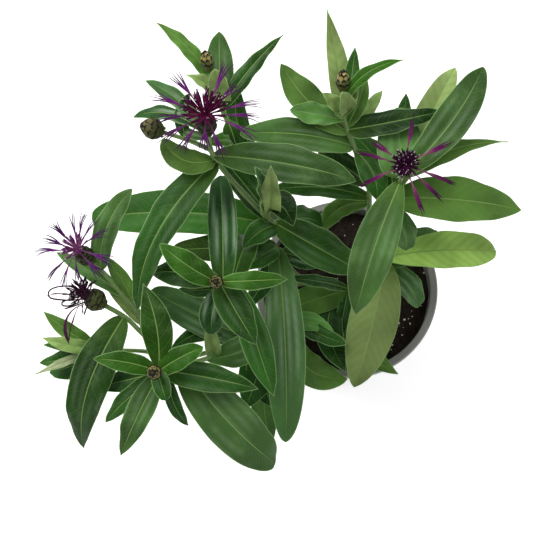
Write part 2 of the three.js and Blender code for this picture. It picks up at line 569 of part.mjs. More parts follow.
// The florets of one flower: "rays" are the places of the outer tips, "inner" the number of
// needles of the disc, "deep" their length in mm.
const FLORETS = {
  flower_a: {
    inner: 18, deep: 15, spread: 4.5, lobes: 4,
    rays: [
      [172, 72, 308], [150, 96, 310], [155, 121, 310], [158, 144, 310], [179, 153, 311], [205, 152, 312],
      [224, 160, 312], [259, 138, 312], [262, 119, 312], [263, 103, 312], [240, 84, 310], [229, 62, 309],
    ],
  },
  flower_b: {
    inner: 12, deep: 11, spread: 4.5, lobes: 4,
    rays: [
      [34, 253, 238], [42, 239, 240], [51, 222, 242], [73, 212, 244], [85, 212, 246], [97, 219, 248],
      [107, 231, 250], [114, 263, 248], [103, 277, 240], [80, 282, 228], [63, 289, 226], [48, 281, 230],
    ],
  },
  flower_c: {
    inner: 12, deep: 11, spread: 1.6, lobes: 2,
    rays: [[48, 295, 210], [62, 303, 208], [69, 344, 204], [84, 314, 208], [66, 286, 214], [92, 282, 218]],
  },
  flower_g: {
    inner: 18, deep: 10.5, spread: 3, lobes: 3,
    rays: [
      [413, 118, 262], [370, 140, 262], [356, 153, 262], [360, 186, 258],
      [452, 142, 262], [456, 185, 260], [443, 201, 258], [423, 214, 256],
    ],
  },
};

function florets(name) {
  const head = HEADS[name];
  const { inner, deep, spread, lobes, rays } = FLORETS[name];
  const { seat, axis, side, lift } = headAxes(head);
  const mouth = head.radius * cupShape(1, true) * SCALE_IN;
  const floor = seat.clone().addScaledVector(axis, head.tall + GAP);
  const heart = floor.clone().addScaledVector(axis, mouth * HEART_DEPTH);
  const profile = CORE_PROFILE.map(([x, y]) => new THREE.Vector2(x * mouth, y * mouth));
  const core = new THREE.LatheGeometry(profile, CORE_SIDES);
  core.applyMatrix4(new THREE.Matrix4().makeBasis(side, axis, lift).setPosition(floor));
  const solids = [toSolid(core)];
  for (const ray of rays) {
    const tip = seen(ray);
    const way = tip.clone().sub(heart).projectOnPlane(axis).normalize();
    const root = heart.clone().addScaledVector(way, mouth * ROOT_DEPTH);
    solids.push(rayFloret(root, tip, axis, lobes, spread));
  }
  for (let k = 0; k < inner; k += 1) {
    const high = 1 - ((k + 0.5) / inner) * NEEDLE_SPREAD;
    const turn = k * GOLDEN_ANGLE;
    const wide = Math.sqrt(1 - high * high);
    const way = axis.clone().multiplyScalar(high)
      .addScaledVector(side, wide * Math.cos(turn))
      .addScaledVector(lift, wide * Math.sin(turn));
    const root = heart.clone().addScaledVector(way, mouth * ROOT_DEPTH);
    solids.push(needle(root, heart.clone().addScaledVector(way, deep), NEEDLE_RADIUS));
  }
  return joined(solids);
}

// The pot: a tapered shell with a wide lip and drain holes round a solid middle
function turned(profile, sides) {
  const geometry = new THREE.LatheGeometry(profile.map(([x, y]) => new THREE.Vector2(x, y)), sides);
  return toSolid(geometry.rotateX(Math.PI / 2));
}

function wallRadius(height) {
  const top = RIM_RADIUS - LIP_OUT;
  return BASE_RADIUS + ((top - BASE_RADIUS) * height) / (POT_HEIGHT - LIP_HEIGHT);
}

function innerRadius(height) {
  return wallRadius(height) - WALL;
}

function pot() {
  const under = POT_HEIGHT - LIP_HEIGHT;
  const shell = turned([
    [0, 0], [BASE_RADIUS, 0], [wallRadius(under), under], [RIM_RADIUS, under], [RIM_RADIUS, POT_HEIGHT],
    [RIM_RADIUS - LIP_WIDTH, POT_HEIGHT], [RIM_RADIUS - LIP_WIDTH, POT_HEIGHT - WALL],
    [innerRadius(under - WALL), under - WALL], [innerRadius(FLOOR), FLOOR], [0, FLOOR],
  ], POT_SIDES);
  let body = shell;
  for (let k = 0; k < DRAIN_HOLES; k += 1) {
    const turn = (2 * Math.PI * k) / DRAIN_HOLES;
    const hole = new THREE.CylinderGeometry(DRAIN_RADIUS, DRAIN_RADIUS, 4 * FLOOR, DRAIN_SIDES);
    hole.rotateX(Math.PI / 2).translate(DRAIN_RING * Math.cos(turn), DRAIN_RING * Math.sin(turn), 0);
    body = body.subtract(toSolid(hole));
  }
  return body;
}

// The soil: it fills the pot up to a low, crumbly top, and each stem stands in a plain hole in it.
function soilHeight(x, y) {
  const swells = Math.sin(SWELL_X * x + 1) * Math.cos(SWELL_Y * y);
  const crumbs = CRUMB_SHARE * Math.sin(CRUMB_X * x - CRUMB_Y * y);
  return SOIL_TOP + SOIL_RELIEF * (swells + crumbs);
}

function soil() {
  const top = innerRadius(SOIL_TOP) - GAP;
  const bottom = innerRadius(FLOOR) - GAP;
  const points = [];
  const ringPoints = (radius, height) => {
    for (let k = 0; k < SOIL_SIDES; k += 1) {
      const turn = (2 * Math.PI * k) / SOIL_SIDES;
      const x = radius * Math.cos(turn);
      const y = radius * Math.sin(turn);
      points.push(new THREE.Vector3(x, y, height ?? soilHeight(x, y)));
    }
  };
  points.push(new THREE.Vector3(0, 0, soilHeight(0, 0)));
  for (let i = 1; i <= SOIL_RINGS; i += 1) ringPoints((top * i) / SOIL_RINGS);
  ringPoints(bottom, FLOOR + GAP);
  points.push(new THREE.Vector3(0, 0, FLOOR + GAP));
  const triangles = [];
  const end = points.length - 1;
  for (let k = 0; k < SOIL_SIDES; k += 1) {
    const next = (k + 1) % SOIL_SIDES;
    triangles.push(0, 1 + k, 1 + next);
    for (let i = 0; i < SOIL_RINGS; i += 1) {
      const inner = 1 + i * SOIL_SIDES;
      const outer = inner + SOIL_SIDES;
      triangles.push(inner + k, outer + k, outer + next, inner + k, outer + next, inner + next);
    }
    const last = 1 + SOIL_RINGS * SOIL_SIDES;
    triangles.push(end, last + next, last + k);
  }
  let body = toSolid(closedMesh(points, triangles));
  for (const { stem } of Object.values(STEMS)) {
    body = body.subtract(stemTube(stemCurve(stem), STEM_RADIUS + STEM_CLEARANCE));
  }
  return body;
}

const finish = (color, roughness) => new THREE.MeshStandardMaterial({ color, roughness, metalness: 0 });
const leafGreen = () => finish(0x3f6b33, 0.55);
const scaleGreen = () => finish(0x55603a, 0.6);
const floretPurple = () => finish(0x6a1a72, 0.6);
const potPlastic = () => finish(0x626164, 0.5);
const darkSoil = () => finish(0x241d19, 0.95);

const group = new THREE.Group();

function place(solid, name, material) {
  const mesh = new THREE.Mesh(toGeometry(solid), material);
  mesh.name = name;
  group.add(mesh);
}

place(pot(), 'pot', potPlastic());
place(soil(), 'soil', darkSoil());
for (const [name, shoot] of Object.entries(STEMS)) place(leafyStem(shoot), name, leafGreen());
for (const [name, head] of Object.entries(HEADS)) {
  const label = head.open ? `${name}_cup` : name;
  place(scalyCup(head), label, scaleGreen());
}
for (const name of Object.keys(FLORETS)) place(florets(name), `${name}_florets`, floretPurple());

export default group;
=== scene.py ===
import math
from collections import namedtuple
from dataclasses import dataclass
from functools import cache

import bmesh
import bpy
import numpy as np
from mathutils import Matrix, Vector


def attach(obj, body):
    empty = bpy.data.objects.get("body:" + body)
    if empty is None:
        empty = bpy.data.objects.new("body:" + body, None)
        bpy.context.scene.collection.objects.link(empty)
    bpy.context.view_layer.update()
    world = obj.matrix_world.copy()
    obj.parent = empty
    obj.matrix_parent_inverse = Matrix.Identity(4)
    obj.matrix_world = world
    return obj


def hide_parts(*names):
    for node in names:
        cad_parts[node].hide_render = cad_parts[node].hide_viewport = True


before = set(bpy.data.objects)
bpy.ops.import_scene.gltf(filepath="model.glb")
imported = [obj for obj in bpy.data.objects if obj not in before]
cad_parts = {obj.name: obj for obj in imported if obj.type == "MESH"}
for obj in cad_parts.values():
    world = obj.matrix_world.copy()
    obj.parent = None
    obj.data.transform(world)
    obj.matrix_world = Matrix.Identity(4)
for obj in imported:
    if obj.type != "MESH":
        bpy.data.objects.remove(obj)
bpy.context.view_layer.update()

# Lengths in this file are millimetres, and become metres where a mesh is made.
MM = 0.001
UP = np.array([0.0, 0.0, 1.0])
TURN = 2 * math.pi
STEEP = 0.9
rng = np.random.default_rng(41)

# Driving dimensions of the pot and the soil
POT_HEIGHT = 105
RIM_RADIUS = 65
BASE_RADIUS = 46
WALL = 1.6
LIP_WIDTH = 5.5
LIP_OUT = 3
LIP_HEIGHT = 8
FLOOR = 2.5
DRAIN_HOLES = 6
DRAIN_RADIUS = 4
DRAIN_RING = 30
SOIL_TOP = 92
SOIL_RELIEF = 0.96
SWELL_X, SWELL_Y = 0.21, 0.17
CRUMB_SHARE, CRUMB_X, CRUMB_Y = 0.7, 0.43, 0.37
STEM_DEPTH = 18
GAP = 0.3

# Driving dimensions of the plant
STEM_RADIUS = 1.9
BRANCH_RADIUS = 1.5
LEAF_THICK = 0.9
LEAF_FOOT = 0.16
LEAF_HALF_LEAST = 0.4
ROLL_AT_FOOT = 0.25
WAVE = 1.2
WAVE_SLANT = 2
WAVE_FULL_AT = 1 / 3
WAVE_FULL_HALF = 4
CUP_FOOT = 0.14
CUP_SPAN_OPEN = 0.68
CUP_SPAN_CLOSED = 0.86
CUP_FULLNESS = 0.8
GOLDEN_ANGLE = 2.4

# The view in which the plant was measured: places are given as (across, down, height),
# the first two in the pixels of a 533 x 533 picture and the height in mm above the ground.
VIEW_ELEVATION = 75
VIEW_DISTANCE = 905
VIEW_FOCAL = 1268
VIEW_SIZE = 533
VIEW_MIDDLE = VIEW_SIZE / 2
RIM_CENTRE_SEEN = (346.8, 287.3)
SENSOR = 36

view_tilt = math.radians(VIEW_ELEVATION)
view_right = np.array([1.0, 0.0, 0.0])
view_up = np.array([0.0, math.sin(view_tilt), math.cos(view_tilt)])
view_forward = np.array([0.0, math.cos(view_tilt), -math.sin(view_tilt)])


def view_ray(across, down):
    right = (across - VIEW_MIDDLE) / VIEW_FOCAL
    up = (VIEW_MIDDLE - down) / VIEW_FOCAL
    return view_forward + view_right * right + view_up * up


eye = np.array([0.0, 0.0, POT_HEIGHT]) - VIEW_DISTANCE * view_ray(*RIM_CENTRE_SEEN)


def seen(place):
    across, down, height = place
    ray = view_ray(across, down)
    return eye + ray * (height - eye[2]) / ray[2]


def unit(v):
    return v / np.linalg.norm(v, axis=-1, keepdims=True)


def smooth(low, high, value):
    share = np.clip((value - low) / (high - low), 0, 1)
    return share * share * (3 - 2 * share)


def walked(places):
    """How far along a row of places each of them lies."""
    return np.concatenate([[0], np.cumsum(np.linalg.norm(np.diff(places, axis=0), axis=1))])


def triples(*rows):
    """A row of points from three rows, grids or numbers."""
    return np.stack(np.broadcast_arrays(*rows), axis=-1).reshape(-1, 3)


def between(spots, walk, rows):
    """Points or colours at some spots of a walk, between those given along it."""
    return np.stack([np.interp(spots, walk, rows[:, k]) for k in range(3)], axis=-1)


def evenly(sides):
    """The turns of points set evenly round a circle."""
    return TURN * np.arange(sides) / sides


def turned_to(side, over, turn):
    """The way that lies a turn from one side towards the other."""
    turn = np.asarray(turn)[..., None]
    return side * np.cos(turn) + over * np.sin(turn)


def sides_of(way, guide=UP):
    """A side square to a way and its guide, and the lift square to both."""
    side = unit(np.cross(way, guide))
    return side, unit(np.cross(side, way))


def guide_for(way):
    """A guide that a way is well off: up, or level for a steep way."""
    return np.where(np.abs(way[..., 2:3]) > STEEP, view_right, UP)


def linear(red, green, blue):
    """A colour given in screen values from 0 to 255, as the renderer wants it."""
    shares = np.array([red, green, blue]) / 255
    return np.where(shares > 0.04045, ((shares + 0.055) / 1.055) ** 2.4, shares / 12.92)


class Curve:
    """A smooth curve through places, walked by its length."""

    STEPS = 200
    NEAR = 1e-4

    def __init__(self, places):
        self.places = np.array(places, float)
        self.shares = np.linspace(0, 1, self.STEPS + 1)
        self.walked = walked(self.point(self.shares))
        self.length = self.walked[-1]

    def point(self, share):
        places = self.places
        before = 2 * places[0] - places[1]
        after = 2 * places[-1] - places[-2]
        knots = np.vstack([before, places, after])
        spot = np.clip(np.atleast_1d(share), 0, 1) * (len(places) - 1)
        first = np.minimum(spot.astype(int), len(places) - 2)
        rest = (spot - first)[:, None]
        p0, p1, p2, p3 = (knots[first + k] for k in range(4))
        d0, d1, d2 = (
            np.linalg.norm(b - a, axis=1, keepdims=True) ** 0.5
            for a, b in ((p0, p1), (p1, p2), (p2, p3))
        )
        leave = ((p1 - p0) / d0 - (p2 - p0) / (d0 + d1) + (p2 - p1) / d1) * d1
        reach = ((p2 - p1) / d1 - (p3 - p1) / (d1 + d2) + (p3 - p2) / d2) * d1
        square = 3 * (p2 - p1) - 2 * leave - reach
        cube = 2 * (p1 - p2) + leave + reach
        return p1 + leave * rest + square * rest**2 + cube * rest**3

    def share_at(self, along):
        return np.interp(np.atleast_1d(along) * self.length, self.walked, self.shares)

    def at(self, along):
        return self.point(self.share_at(along))

    def tangent(self, along):
        share = self.share_at(along)
        return unit(self.point(share + self.NEAR) - self.point(share - self.NEAR))


# The tones of the leaves, in screen values
TONES = {
    "deep": (20, 62, 12),
    "mid": (34, 78, 20),
    "soft": (60, 96, 42),
    "fresh": (78, 114, 46),
    "bright": (40, 86, 10),
    "lime": (136, 170, 84),
    "blue": (26, 68, 28),
    "grey": (54, 88, 46),
    "pale": (124, 146, 84),
    "white": (154, 168, 130),
    "olive": (56, 84, 26),
}
# How much of a leaf's top is painted pale in streaks along it: a painted highlight standing for the sky
# mirrored on the leaf
PAINTED_HIGHLIGHT = {"blue": 0.5, "grey": 0.3, "mid": 0.1, "soft": 0.14, "deep": 0.06}
PAINTED_HIGHLIGHT_TINT = linear(168, 190, 160)


@dataclass
class Leaf:
    """A thin blade along an arched midrib, folded a little along it and waved at its edges.

    "at" is its place on the stem, or on the branch that "on" counts, "tip" the place of its tip,
    "wide" its width in mm and "lit" how light its colour is made: partly its own tone, partly painted light
    and shade.
    """

    at: float
    tip: tuple
    wide: float
    tone: str
    on: int = 0
    arch: float = 8
    bow: float = 0
    roll: float = 0
    point: float = 0.8
    widest: float = 0.5
    keel: float = 0.12
    waves: float = 3
    lit: float = 1


# A leafy stem. Its curves go smoothly through their places: first the stem's, from its root in
# the soil up, and then those of its branches.
Shoot = namedtuple("Shoot", "curves leaves")
STEMS = {}
STEMS["amethyst_shoot"] = Shoot([
    [(330, 272, 92), (300, 243, 150), (259, 209, 212), (218, 163, 258), (210, 147, 277), (208, 133, 289)],
    [(211, 150, 273), (188, 140, 279), (172, 135, 283), (163, 132, 285)],
], [
    Leaf(0.9, (356, 181, 244), 24, "soft", arch=3, bow=-2, point=0.75, lit=0.64),
    Leaf(0.87, (138, 310, 207), 22, "mid", arch=16, bow=8, roll=20, point=0.8, widest=0.4, lit=0.9),
    Leaf(0.97, (146, 81, 285), 10, "grey", arch=4, bow=4, widest=0.6, lit=0.9),
    Leaf(0.99, (134, 117, 274), 9, "blue", arch=6, bow=5, widest=0.6, lit=0.9),
    Leaf(0.88, (163, 139, 266), 16, "fresh", arch=4, bow=-9, point=0.6, lit=0.85),
    Leaf(0.5, (190, 93, 290), 9, "deep", on=1, arch=2, bow=-4),
    Leaf(0.96, (231, 142, 266), 9, "bright", arch=3, point=0.6),
    Leaf(0.98, (180, 128, 279), 6, "grey", arch=2, bow=-2),
    Leaf(0.53, (358, 270, 168), 26, "mid", arch=6, bow=2, point=0.7, lit=0.95),
    Leaf(0.5, (322, 226, 150), 18, "mid", arch=4, bow=-4, point=0.6),
    Leaf(0.56, (293, 226, 218), 19, "deep", arch=8, bow=-7, keel=0.4, lit=0.6),
    Leaf(0.56, (271, 166, 286), 13, "pale", arch=1, widest=0.4, keel=0.3, lit=1.1),
    Leaf(0.6, (255, 167, 288), 11, "grey", arch=1, keel=0.4),
    Leaf(0.5, (243, 248, 202), 16, "mid", arch=5, bow=2),
    Leaf(0.54, (222, 158, 216), 18, "deep", arch=3),
    Leaf(0.5, (92, 219, 182), 29, "mid", arch=12, bow=3, point=0.42, widest=0.56, lit=1.35),
])

STEMS["high_bud_shoot"] = Shoot([
    [(324, 258, 92), (296, 214, 150), (255, 160, 205), (225, 116, 236), (215, 88, 248), (210, 71, 257)],
], [
    Leaf(0.94, (157, 23, 268), 9.5, "fresh", arch=4, bow=3, point=0.9, waves=4, lit=1.13),
    Leaf(0.9, (219, 32, 246), 18, "soft", arch=1, point=0.7, widest=0.45, lit=0.66),
    Leaf(0.88, (283, 35, 258), 11, "mid", arch=5, bow=-1, point=1, widest=0.4, waves=4, lit=0.56),
    Leaf(0.84, (236, 166, 204), 16, "deep", arch=6, bow=-2, point=0.6),
    Leaf(0.66, (237, 86, 232), 15, "mid", arch=2, bow=-6, point=0.6),
    Leaf(0.93, (187, 75, 258), 10, "pale", arch=4, point=1, widest=0.35, keel=0.4),
    Leaf(0.94, (226, 78, 250), 9, "pale", arch=2, widest=0.5, keel=0.5),
    Leaf(0.9, (215, 69, 274), 14, "pale", arch=5, point=0.5, keel=0.3),
])

STEMS["upright_bud_shoot"] = Shoot([
    [(347, 262, 92), (366, 226, 142), (368, 184, 186), (354, 148, 214), (343, 113, 236), (343, 91, 249)],
], [
    Leaf(0.86, (327, 10, 252), 14, "pale", arch=0, bow=1, point=1, widest=0.4, lit=0.8),
    Leaf(0.87, (355, 48, 252), 11, "mid", arch=4, point=0.8),
    Leaf(0.94, (403, 60, 262), 8, "bright", arch=10, bow=-4.5, point=0.9),
    Leaf(0.86, (365, 76, 238), 11, "fresh", arch=3, bow=2),
    Leaf(0.82, (382, 91, 220), 9, "pale", arch=3),
    Leaf(0.84, (281, 64, 240), 21, "fresh", arch=3, bow=-5.5, lit=0.85),
    Leaf(0.89, (290, 110, 240), 15, "soft", arch=3, bow=-1, widest=0.6, keel=0.2, lit=1.45),
    Leaf(0.85, (443, 111, 232), 16, "deep", arch=1, bow=1, point=0.7, widest=0.35, lit=0.5),
    Leaf(0.78, (240, 134, 236), 21, "soft", arch=8, bow=1, point=0.6),
    Leaf(0.53, (272, 190, 184), 14, "mid", arch=3, bow=3.5, point=0.6),
    Leaf(0.5, (338, 208, 146), 13, "soft", arch=3, point=0.6, lit=0.95),
    Leaf(0.5, (321, 232, 146), 14, "fresh", arch=2, bow=7, point=0.6),
    Leaf(0.76, (377, 200, 200), 18, "mid", arch=3, bow=-4),
    Leaf(0.6, (318, 152, 196), 18, "mid", arch=4, lit=0.42),
    Leaf(0.9, (323, 93, 250), 10, "pale", arch=2, widest=0.5, keel=0.5),
    Leaf(0.91, (357, 89, 246), 9, "pale", arch=2, widest=0.5, keel=0.5),
    Leaf(0.92, (342, 92, 262), 12, "pale", arch=5, point=0.5, keel=0.3),
])

STEMS["dark_flower_shoot"] = Shoot([
    [(364, 268, 92), (376, 238, 140), (391, 202, 190), (403, 174, 226), (404, 169, 242)],
], [
    Leaf(0.84, (356, 314, 178), 27, "soft", arch=16, bow=2, point=0.85, lit=0.9),
    Leaf(0.86, (397, 108, 218), 29, "soft", arch=4, point=0.6, widest=0.4, lit=1.5),
    Leaf(0.72, (455, 68, 214), 20, "pale", arch=6, bow=-1, point=0.7, widest=0.6, keel=0.3),
    Leaf(0.9, (483, 67, 244), 23, "soft", arch=6, bow=5.5, point=0.65, widest=0.56, lit=0.64),
    Leaf(0.86, (508, 142, 224), 13, "fresh", arch=7, bow=-5, point=1.6, widest=0.38),
    Leaf(0.72, (521, 210, 196), 30, "fresh", arch=10, bow=0.5, point=0.8, widest=0.46, lit=1.05),
    Leaf(0.66, (406, 250, 162), 17, "soft", arch=8, bow=-1),
    Leaf(0.78, (406, 94, 206), 14, "deep", arch=4),
    Leaf(0.66, (351, 134, 184), 21, "mid", arch=3, bow=6),
])

STEMS["low_right_shoot"] = Shoot([
    [(372, 282, 92), (378, 272, 112), (384, 262, 134), (386, 257, 146)],
], [
    Leaf(0.85, (354, 387, 134), 33, "pale", arch=9, bow=-2, point=0.7, lit=0.72),
    Leaf(0.75, (418, 307, 112), 17, "grey", arch=9, bow=-2, keel=0.4, lit=1.3),
    Leaf(1, (496, 252, 150), 26, "lime", arch=7, bow=-1, point=0.5, widest=0.6, lit=1.15),
    Leaf(0.8, (437, 231, 132), 22, "soft", arch=6, widest=0.42, lit=0.8),
])

STEMS["facing_bud_shoot"] = Shoot([
    [(318, 284, 92), (286, 284, 146), (242, 284, 204), (219, 282, 230), (217, 282, 242)],
    [(308, 284, 110), (291, 268, 142), (277, 247, 166)],
], [
    Leaf(0.97, (160, 244, 254), 16, "bright", arch=6, bow=-3, lit=0.92),
    Leaf(0.92, (151, 273, 222), 19, "deep", arch=5, bow=1.5, point=0.9),
    Leaf(0.98, (287, 279, 236), 12, "bright", arch=7, bow=2, point=0.9),
    Leaf(0.93, (256, 344, 214), 20, "mid", arch=6, bow=1, point=0.9, widest=0.4, lit=0.7),
    Leaf(0.86, (213, 334, 204), 16, "blue", arch=5, bow=4, point=0.6, widest=0.6),
    Leaf(0.82, (179, 289, 208), 10, "mid", arch=3, bow=-3),
    Leaf(0.9, (220, 176, 226), 18, "blue", arch=12, bow=1, point=0.45),
    Leaf(0.84, (249, 236, 178), 18, "bright", arch=4, point=0.5, keel=0.3),
    Leaf(0.97, (172, 250, 192), 19, "olive", on=1, arch=6, bow=-1, point=0.5, lit=0.62),
    Leaf(0.98, (286, 442, 150), 26, "grey", on=1, arch=12, bow=-2, point=0.55, widest=0.55, lit=1.5),
    Leaf(0.8, (274, 396, 180), 19, "mid", arch=8, bow=1, point=1, lit=1.3),
    Leaf(0.9, (316, 265, 150), 15, "blue", on=1, arch=4, point=0.6),
    Leaf(0.8, (247, 308, 176), 14, "deep", on=1, arch=4, point=0.6),
    Leaf(1, (245, 268, 178), 16, "mid", on=1, arch=3, point=0.6),
])

STEMS["front_bud_shoot"] = Shoot([
    [(322, 306, 92), (276, 330, 140), (214, 356, 182), (161, 371, 210), (156, 372, 224)],
], [
    Leaf(0.95, (94, 359, 226), 13, "bright", arch=5, bow=1, lit=0.9),
    Leaf(0.95, (203, 347, 224), 14, "bright", arch=5, point=0.6, lit=0.9),
    Leaf(0.96, (166, 400, 216), 11, "mid", arch=3, point=0.45),
    Leaf(0.95, (143, 284, 231), 19, "bright", arch=6, bow=4, point=1.1, lit=0.5),
    Leaf(0.93, (121, 455, 190), 17, "soft", arch=7, point=0.9, widest=0.45, lit=0.68),
    Leaf(0.9, (106, 422, 182), 12, "mid", arch=6, bow=1),
    Leaf(0.9, (188, 425, 184), 9, "deep", arch=5, bow=3.5),
    Leaf(0.92, (258, 389, 198), 18, "mid", arch=6, point=0.9, widest=0.4, lit=0.72),
    Leaf(0.84, (275, 463, 150), 32, "soft", arch=12, bow=4.5, point=0.5, widest=0.52, lit=0.95),
    Leaf(0.86, (96, 387, 170), 15, "deep", arch=2, bow=-1),
    Leaf(0.48, (272, 406, 138), 20, "deep", arch=6, bow=4),
    Leaf(0.38, (272, 444, 116), 18, "soft", arch=8, bow=8, widest=0.6),
    Leaf(0.5, (206, 360, 186), 20, "soft", arch=5, bow=-5),
    Leaf(0.42, (246, 408, 150), 26, "deep", arch=3),
    Leaf(0.71, (209, 326, 192), 10, "pale", arch=2, point=0.5, widest=0.4, keel=0.5),
    Leaf(0.32, (335, 335, 138), 13, "soft", arch=6, bow=-3, point=0.9, widest=0.4, lit=2.2),
    Leaf(0.3, (347, 379, 112), 22, "fresh", arch=6, bow=16, widest=0.6),
    Leaf(0.28, (346, 344, 152), 12, "mid", arch=3, bow=3, point=0.5),
])

STEMS["left_flower_shoot"] = Shoot([
    [
        (314, 298, 92), (262, 328, 122), (215, 350, 148), (176, 356, 170),
        (146, 337, 186), (126, 318, 198), (104, 305, 206),
    ],
    [(144, 336, 187), (138, 314, 196), (117, 289, 210), (99, 268, 221), (92, 262, 226)],
    [(168, 355, 173), (140, 351, 167), (112, 350, 168), (100, 349, 170)],
], [
    Leaf(0.86, (132, 189, 246), 15, "soft", on=1, arch=5, bow=-5, point=0.6, lit=1.2),
    Leaf(0.5, (57, 253, 200), 11, "soft", on=1, arch=5, bow=1),
    Leaf(0.26, (106, 257, 212), 11, "fresh", on=1, arch=3, bow=1.5),
    Leaf(0.12, (104, 282, 200), 10, "pale", on=1, arch=3, bow=2),
    Leaf(0.93, (84, 448, 138), 26, "mid", arch=16, bow=5.5, point=1, widest=0.4, lit=0.62),
    Leaf(0.42, (151, 290, 184), 25, "grey", arch=6, bow=-3, point=0.5),
    Leaf(0.4, (171, 349, 172), 14, "deep", arch=5, bow=7),
    Leaf(1, (44, 312, 184), 11, "fresh", on=2, arch=3, bow=-2, point=0.9),
    Leaf(1, (43, 338, 182), 10, "pale", on=2, arch=4, bow=-2, point=1, lit=1.1),
    Leaf(0.95, (44, 345, 172), 8, "bright", on=2, arch=3, lit=0.9),
    Leaf(0.95, (40, 363, 166), 12, "mid", on=2, arch=3, bow=-1.5),
    Leaf(1, (36, 374, 176), 6, "white", on=2, arch=2, point=1.2),
    Leaf(0.85, (50, 373, 152), 18, "mid", on=2, arch=4, bow=-2),
])

STEMS["crown_leaves"] = Shoot([
    [(346, 296, 92), (347, 292, 104), (348, 289, 114)],
], [
    Leaf(0.9, (282, 312, 122), 22, "fresh", arch=4, point=0.6),
    Leaf(0.9, (338, 344, 118), 10, "deep", arch=4, lit=1.15),
    Leaf(0.6, (345, 371, 134), 20, "deep", arch=8, bow=13, widest=0.6),
    Leaf(0.7, (398, 374, 112), 17, "fresh", arch=4, bow=12),
    Leaf(1, (288, 278, 158), 9, "deep", arch=4, point=0.6),
])


@dataclass
class Head:
    """A flower head on the end of a stem or branch, facing along it.

    "radius" and "tall" are those of its scaly green cup, in mm, "shade" is how light the scales
    are and "straw" how straw-coloured the top ones.
    """

    shoot: str
    radius: float
    tall: float
    branch: int = 0
    is_open: bool = False
    shade: float = 1
    straw: float = 1


HEADS = {
    "flower_a": Head("amethyst_shoot", 5.6, 14, is_open=True, shade=0.3),
    "flower_b": Head("left_flower_shoot", 5.6, 12, branch=1, is_open=True, shade=0.5),
    "flower_c": Head("left_flower_shoot", 7, 12, is_open=True, shade=0.7),
    "flower_g": Head("dark_flower_shoot", 5.4, 12, is_open=True, shade=0.5),
    "bud_h": Head("high_bud_shoot", 3.6, 14),
    "bud_i": Head("amethyst_shoot", 6.2, 14, branch=1, shade=0.5, straw=0.5),
    "bud_f": Head("upright_bud_shoot", 4, 15),
    "bud_e": Head("facing_bud_shoot", 3.9, 9, straw=0.4),
    "bud_d": Head("front_bud_shoot", 4.5, 10, straw=0.4),
}


@dataclass
class Flower:
    """The florets of one flower.

    "inner" is the number of slim florets of the disc and "deep" their length in mm. "rays" are
    the places of the outer tips. Tones are in screen values, from the foot of a floret to its tip.
    """

    inner: int
    deep: float
    spread: float
    lobes: int
    outer_tones: list
    inner_tones: list
    rays: list
    lobe_half: float = 0.36
    withered: bool = False
    threads: tuple = ()
    petals: tuple = ()


FLORETS = {
    "flower_a": Flower(
        90, 17, 4.5, 5,
        [(126, 74, 112), (76, 14, 84), (46, 10, 54)],
        [(132, 36, 86), (112, 20, 72), (36, 6, 40)],
        [
            (172, 72, 308), (150, 96, 310), (155, 121, 310), (158, 144, 310), (179, 153, 311),
            (205, 152, 312), (224, 160, 312), (259, 138, 312), (262, 119, 312), (263, 103, 312),
            (240, 84, 310), (229, 62, 309),
        ],
    ),
    "flower_b": Flower(
        40, 11, 4.5, 5,
        [(120, 66, 116), (70, 16, 86), (48, 18, 66)],
        [(156, 98, 138), (128, 62, 118), (86, 40, 94)],
        [
            (34, 253, 238), (42, 239, 240), (51, 222, 242), (73, 212, 244), (85, 212, 246),
            (97, 219, 248), (107, 231, 250), (114, 263, 248), (103, 277, 240), (80, 282, 228),
            (63, 289, 226), (48, 281, 230),
        ],
    ),
    "flower_c": Flower(
        40, 11, 1.6, 2,
        [(150, 104, 124), (72, 20, 60), (34, 10, 30)],
        [(60, 24, 44), (40, 14, 34), (22, 10, 20)],
        [
            (48, 295, 210), (62, 303, 208), (69, 344, 204),
            (84, 314, 208), (66, 286, 214), (92, 282, 218),
        ],
        withered=True,
        threads=(
            [(84, 297, 216), (72, 287, 220), (57, 287, 222), (49, 291, 222), (49, 297, 221), (75, 301, 217)],
            [(84, 299, 216), (72, 300, 218), (63, 301, 217), (62, 305, 216), (68, 306, 215), (80, 302, 215)],
            [(85, 302, 214), (74, 306, 214), (64, 309, 213)],
            [(88, 303, 214), (86, 309, 212), (84, 315, 210)],
            [(82, 294, 218), (72, 291, 220), (66, 288, 221)],
            [(86, 292, 218), (78, 284, 221), (72, 279, 222)],
            [(90, 292, 218), (92, 284, 220), (97, 280, 221)],
        ),
        petals=([(84, 304, 214), (74, 309, 212), (67, 318, 210), (65, 330, 208), (69, 344, 205)],),
    ),
    "flower_g": Flower(
        110, 10.5, 1.5, 4,
        [(152, 104, 110), (88, 16, 74), (42, 8, 38)],
        [(128, 62, 100), (84, 24, 70), (34, 10, 36)],
        [
            (413, 118, 262), (370, 140, 262), (356, 153, 262), (360, 186, 258),
            (452, 142, 262), (456, 185, 260), (443, 201, 258), (423, 214, 256),
        ],
        lobe_half=0.5,
    ),
}


# The second part of "mark" where a point lies far off the rib and the stripes
FAR = 9


